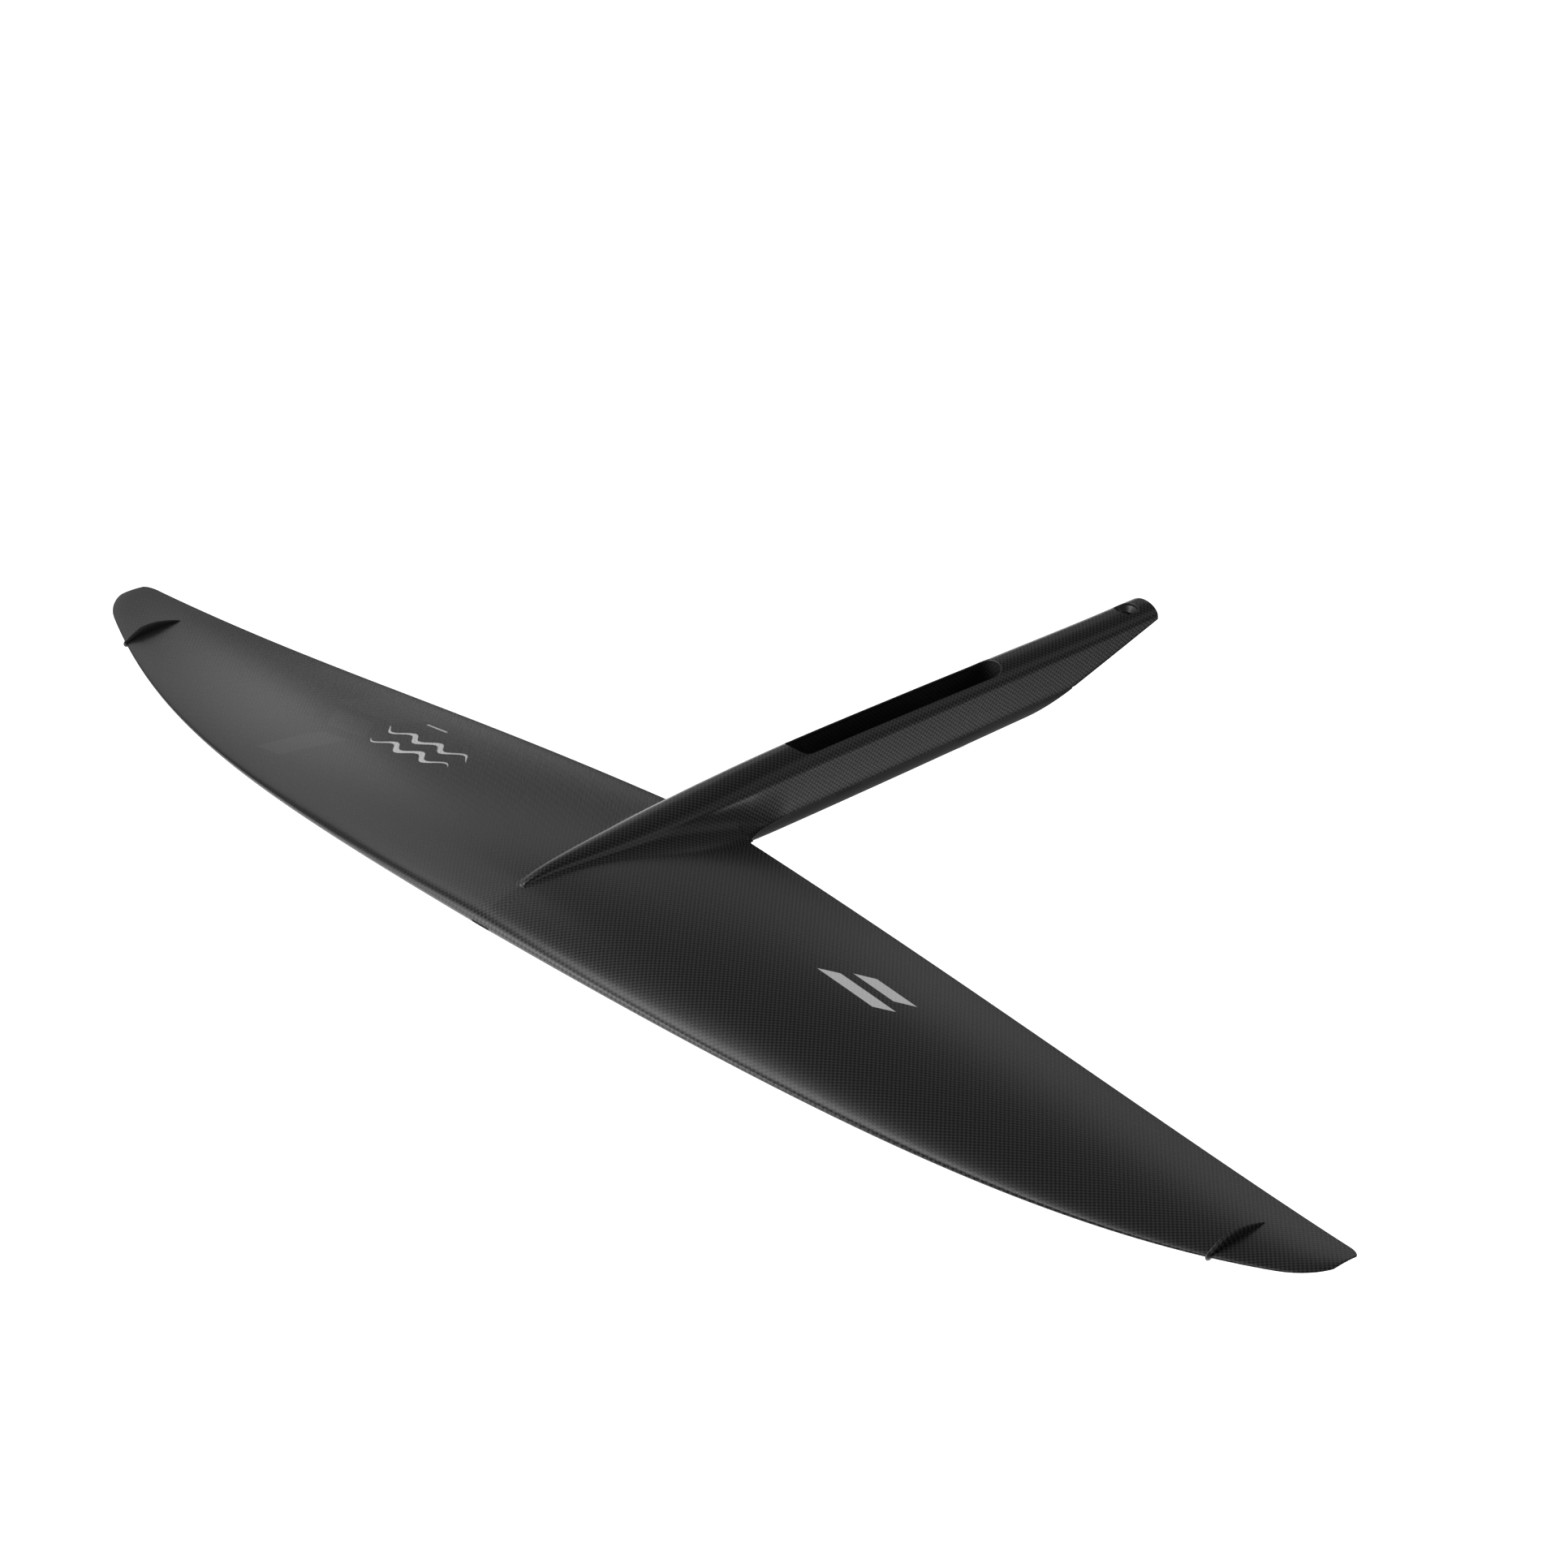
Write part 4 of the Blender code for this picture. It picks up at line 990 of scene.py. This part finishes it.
def wave_stroke(paint, x, y, centre, half_length, half_width, swing, length):
    """1 inside a wavy stroke that thins towards both ends."""
    along = paint.minus(x, centre[0])
    phase = paint.times(along, 2.0 * math.pi / length)
    line = paint.times(paint.math("SINE", phase), swing)
    across = paint.minus(paint.minus(y, centre[1]), line)
    share = paint.math("DIVIDE", along, half_length)
    fullness = paint.minus(1.0, paint.times(share, share))
    width = paint.times(fullness, half_width)
    return paint.below(paint.size(across), width)


def union(paint, masks):
    total = masks[0]
    for mask in masks[1:]:
        total = paint.math("MAXIMUM", total, mask)
    return total


def carbon_skin(name, marked, plain_body):
    """Woven carbon under satin clear coat; the body's cloth is a patch laid round it.

    The weave stands out on the body and the right half; on the left half its contrast is painted faint, as
    painted sheen that washes the weave out in the light.
    """
    paint = Paint(name)
    wing_x, wing_y, patch = paint.attribute("cloth")
    body_x, body_y, low = paint.attribute("body_cloth")
    on_body = paint.math("GREATER_THAN", patch, 0.5)
    turned_x = paint.plus(body_x, paint.times(body_y, CLOTH_TILT))
    turned_y = paint.minus(body_y, paint.times(body_x, CLOTH_TILT))
    u = paint.mix(on_body, wing_x, turned_x)
    v = paint.mix(on_body, wing_y, turned_y)
    warp, height, fibres = weave(paint, u, v)
    broad = paint.noise(paint.join(wing_x, wing_y), 14.0, 3.0)
    warp_colour = paint.blend(fibres, grey(0.0007), grey(0.0025))
    weft_colour = paint.blend(fibres, grey(0.0230), grey(0.0340))
    # Painted sheen: the weave's colour contrast is faded on the left half, as if washed out by reflection.
    outside_painted_sheen = paint.math("MAXIMUM", paint.ramp(wing_x, -0.12, 0.08), on_body)
    strength = paint.mix(outside_painted_sheen, 0.06, 0.95)
    tow = paint.plus(0.5, paint.times(strength, paint.minus(warp, 0.5)))
    colour = paint.blend(tow, weft_colour, warp_colour)
    rough = paint.plus(paint.mix(warp, 0.27, 0.23), paint.times(broad, 0.05))
    relief = height
    # Dulls the belly's own finish, and low on the sides behind the wing dims the reflection as painted
    # shade.
    dull_and_painted_shade = paint.ramp(low, 0.76, 0.97)
    shine = paint.mix(dull_and_painted_shade, paint.mix(tow, 0.58, 0.42), 0.08)
    coat = paint.mix(dull_and_painted_shade, 0.25, 0.0)
    if plain_body:
        colour = paint.blend(on_body, colour, grey(0.004))
        rough = paint.mix(on_body, rough, 0.60)
        relief = paint.mix(on_body, height, 0.6)
    if marked:
        bars = [slanted_bar(paint, wing_x, wing_y, *bar) for bar in WHITE_BARS]
        waves = [wave_stroke(paint, wing_x, wing_y, *wave) for wave in WHITE_WAVES]
        white = union(paint, bars + waves)
        tone = union(paint, [slanted_bar(paint, wing_x, wing_y, *bar) for bar in TONE_BARS])
        colour = paint.blend(paint.times(tone, 0.75), colour, grey(0.040))
        colour = paint.blend(white, colour, grey(0.86))
        relief = paint.mix(paint.math("MAXIMUM", white, paint.times(tone, 0.6)), relief, 0.7)
    paint.bump(relief, 0.15, 0.00010)
    return paint.set(Base_Color=colour, Roughness=rough, IOR=1.5, Specular_IOR_Level=shine,
                     Coat_Weight=coat, Coat_Roughness=0.22)


def unidirectional_carbon():
    paint = Paint("unidirectional_carbon_fibres")
    x, y, z = paint.place()
    stretched = paint.join(paint.times(x, 20.0), paint.times(y, 2500.0), z)
    streaks = paint.noise(stretched, 1.0, 4.0)
    paint.bump(streaks, 0.3, 0.0001)
    return paint.set(Base_Color=paint.blend(streaks, grey(0.010), grey(0.035)),
                     Roughness=paint.mix(streaks, 0.35, 0.5))


def pressed_laminate():
    """Dull laminate with a faint cloth print, as on walls that came off a mould."""
    paint = Paint("pressed_laminate")
    x, y, z = paint.place()
    warp, height, fibres = weave(paint, paint.plus(x, y), z)
    colour = paint.blend(warp, grey(0.006), grey(0.030))
    paint.bump(height, 0.4, 0.0001)
    return paint.set(Base_Color=colour, Roughness=paint.mix(fibres, 0.42, 0.55))


def structural_foam():
    paint = Paint("structural_foam_cells")
    cells = paint.node("ShaderNodeTexVoronoi")
    cells.inputs["Scale"].default_value = 1400.0
    paint.feed(cells.inputs["Vector"], paint.node("ShaderNodeTexCoord").outputs["Object"])
    distance = cells.outputs["Distance"]
    paint.bump(distance, 0.5, 0.0003)
    return paint.set(Base_Color=paint.blend(distance, (0.82, 0.74, 0.55, 1.0), (0.62, 0.54, 0.38, 1.0)),
                     Roughness=0.9)


def turned_metal(name, light, dark, smooth, dull, axis_y):
    """Metal with the fine rings that a lathe leaves round its axis."""
    paint = Paint(name)
    x, y, z = paint.place()
    off = paint.minus(y, axis_y)
    square = paint.plus(paint.times(x, x), paint.times(off, off))
    rings = paint.noise(paint.join(paint.math("SQRT", square), z), 9000.0, 2.0)
    paint.bump(rings, 0.12, 0.00005)
    return paint.set(Base_Color=paint.blend(rings, grey(light), grey(dark)), Metallic=1.0,
                     Roughness=paint.mix(rings, smooth, dull))


def studio_floor():
    """Pale floor with painted light and shade: it glows under the wing, more so to its right, and is
    painted dark beyond that.
    """
    paint = Paint("studio_floor_painted_light_and_shade")
    x, y, _ = paint.place()
    along = paint.plus(paint.times(x, FLOOR_HEADING[0]),
                       paint.times(y, FLOOR_HEADING[1]))
    # Painted shade beyond, painted light nearer: the floor's glow stands in for light on it and in the
    # fuselage's reflections.
    painted_shade = paint.ramp(along, *FLOOR_PAINTED_SHADE)
    painted_light = paint.ramp(along, *FLOOR_PAINTED_LIGHT)
    mottle = paint.noise(paint.join(x, y), 3.0, 2.0)
    light = paint.blend(mottle, grey(0.90), grey(0.92))
    floor_painted_light = paint.mix(painted_shade, paint.mix(painted_light, PAINTED_LIGHT_LEFT, PAINTED_LIGHT_RIGHT), PAINTED_SHADE_GLOW)
    return paint.set(Base_Color=paint.blend(painted_shade, light, grey(0.35)), Roughness=0.9,
                     Specular_IOR_Level=0.1, Emission_Color=grey(1.0), Emission_Strength=floor_painted_light)


# Build --------------------------------------------------------------------------------------
upper_carbon = carbon_skin("marked_carbon_weave", marked=True, plain_body=False)
lower_carbon = carbon_skin("carbon_weave_below", marked=False, plain_body=True)
fence_carbon = carbon_skin("carbon_weave_fence", marked=False, plain_body=False)
fibres = unidirectional_carbon()
laminate = pressed_laminate()
foam = structural_foam()
steel = turned_metal("turned_steel", 0.58, 0.46, 0.22, 0.34, ORIGIN.y + SOCKET_Y)
anodised = turned_metal("anodised_cup", 0.10, 0.06, 0.30, 0.42, ORIGIN.y + TAIL_HOLE_Y)


build_skin("upper_skin", 1, [SLOT, TAIL_HOLE], upper_carbon)
build_skin("lower_skin", -1, BELLY_HOLES + [SCREW_HOLE], lower_carbon)
build_socket(laminate)
build_bushes(steel, anodised)
build_fence("left", -1.0, fence_carbon)
build_fence("right", 1.0, fence_carbon)

slot_finish = {"carbon_unidirectional": fibres, "solid_laminate": laminate, "core_foam": foam,
               "stainless_steel": steel, "black_anodised": anodised, "carbon_weave": lower_carbon}
for subpart in frame["record"]["subparts"]:
    mesh = nodes[subpart["node"]].data
    mesh.materials.clear()
    mesh.materials.append(slot_finish[subpart["material_slot"]])


# Stage --------------------------------------------------------------------------------------
FLOOR_HALF = 12.0
FLOOR_DROP = 0.30            # below the lowest point of the wing
WORLD_STRENGTH = 0.134
LIGHT_DISTANCE = 3.0
LIGHT_TARGET = Vector((0.0, -0.1, 0.0))
CAMERA_PLACE = (1.6835, -1.6204, 1.2462)
CAMERA_RIGHT = (0.6749, 0.7379, 0.0)
CAMERA_BACK = (0.6486, -0.5933, 0.4767)
CAMERA_LENS = 112.45
# Azimuth, elevation, width and height in degrees, and radiance.  A bright bank stands in front
# on the left, fades towards the left and the back, and two weak boxes stand on the right.
SOFT_BOXES = (
    (-66.0, 8.0, 12.0, 16.0, 0.591),
    (-90.0, 24.0, 12.0, 16.0, 0.476),
    (-78.0, 24.0, 12.0, 16.0, 0.473),
    (-66.0, 24.0, 12.0, 16.0, 0.354),
    (-54.0, 24.0, 12.0, 16.0, 0.293),
    (-42.0, 24.0, 12.0, 16.0, 0.123),
    (-30.0, 24.0, 12.0, 16.0, 0.375),
    (-102.0, 40.0, 15.0, 16.0, 1.177),
    (-87.0, 40.0, 15.0, 16.0, 0.725),
    (-72.0, 40.0, 15.0, 16.0, 0.497),
    (-165.0, 16.0, 15.0, 32.0, 3.400),
    (-150.0, 16.0, 15.0, 32.0, 3.600),
    (-135.0, 16.0, 15.0, 32.0, 2.200),
    (-150.0, 40.0, 30.0, 16.0, 0.800),
    (-155.0, 56.0, 18.0, 16.0, 0.547),
    (-137.0, 56.0, 18.0, 16.0, 3.590),
    (-119.0, 56.0, 18.0, 16.0, 2.457),
    (-150.0, 72.0, 36.0, 16.0, 3.406),
    (-114.0, 72.0, 36.0, 16.0, 2.388),
    (-78.0, 72.0, 36.0, 16.0, 0.728),
    (-42.0, 72.0, 36.0, 16.0, 0.084),
    (40.0, 30.0, 34.0, 26.0, 0.228),
    (75.0, 12.0, 30.0, 26.0, 0.474))


def heading(azimuth, elevation, distance):
    """The place that far off in a direction: azimuth from +Y towards +X, elevation up."""
    turned = math.radians(azimuth)
    raised = math.radians(elevation)
    return (distance * math.sin(turned) * math.cos(raised),
            distance * math.cos(turned) * math.cos(raised), distance * math.sin(raised))


def soft_light(azimuth, elevation, width, height, radiance):
    """A soft box whose width and height are angles seen from the wing, equally bright all over."""
    name = "soft_box_%d_%d" % (azimuth, elevation)
    light = bpy.data.lights.new(name, "AREA")
    light.shape = "RECTANGLE"
    ring = LIGHT_DISTANCE * math.cos(math.radians(elevation))
    light.size = 2.0 * ring * math.tan(math.radians(width / 2.0))
    light.size_y = 2.0 * LIGHT_DISTANCE * math.tan(math.radians(height / 2.0))
    light.energy = radiance * math.pi * light.size * light.size_y
    lamp = bpy.data.objects.new(name, light)
    lamp.location = heading(azimuth, elevation, LIGHT_DISTANCE)
    lamp.rotation_mode = "QUATERNION"
    lamp.rotation_quaternion = (LIGHT_TARGET - lamp.location).to_track_quat("-Z", "Y")
    bpy.context.scene.collection.objects.link(lamp)


floor_mesh = bpy.data.meshes.new("studio_floor")
floor_z = cad_box[0][2] - FLOOR_DROP
floor_mesh.from_pydata([(-FLOOR_HALF, -FLOOR_HALF, floor_z), (FLOOR_HALF, -FLOOR_HALF, floor_z),
                        (FLOOR_HALF, FLOOR_HALF, floor_z), (-FLOOR_HALF, FLOOR_HALF, floor_z)],
                       [], [(0, 1, 2, 3)])
floor_mesh.materials.append(studio_floor())
floor = bpy.data.objects.new("studio_floor", floor_mesh)
bpy.context.scene.collection.objects.link(floor)

world = bpy.data.worlds.new("studio")
world.use_nodes = True
world.node_tree.nodes["Background"].inputs["Color"].default_value = (1.0, 1.0, 1.0, 1.0)
world.node_tree.nodes["Background"].inputs["Strength"].default_value = WORLD_STRENGTH
bpy.context.scene.world = world

for box in SOFT_BOXES:
    soft_light(*box)

camera_data = bpy.data.cameras.new("camera")
camera_data.sensor_width = 36.0
camera_data.lens = CAMERA_LENS
camera_data.clip_end = 60.0
camera = bpy.data.objects.new("camera", camera_data)
right = Vector(CAMERA_RIGHT).normalized()
back = Vector(CAMERA_BACK).normalized()
turn = Matrix((right, back.cross(right), back)).transposed()
camera.matrix_world = Matrix.Translation(CAMERA_PLACE) @ turn.to_4x4()
bpy.context.scene.collection.objects.link(camera)
bpy.context.scene.camera = camera
bpy.context.scene.view_settings.view_transform = "Standard"

bpy.context.view_layer.update()
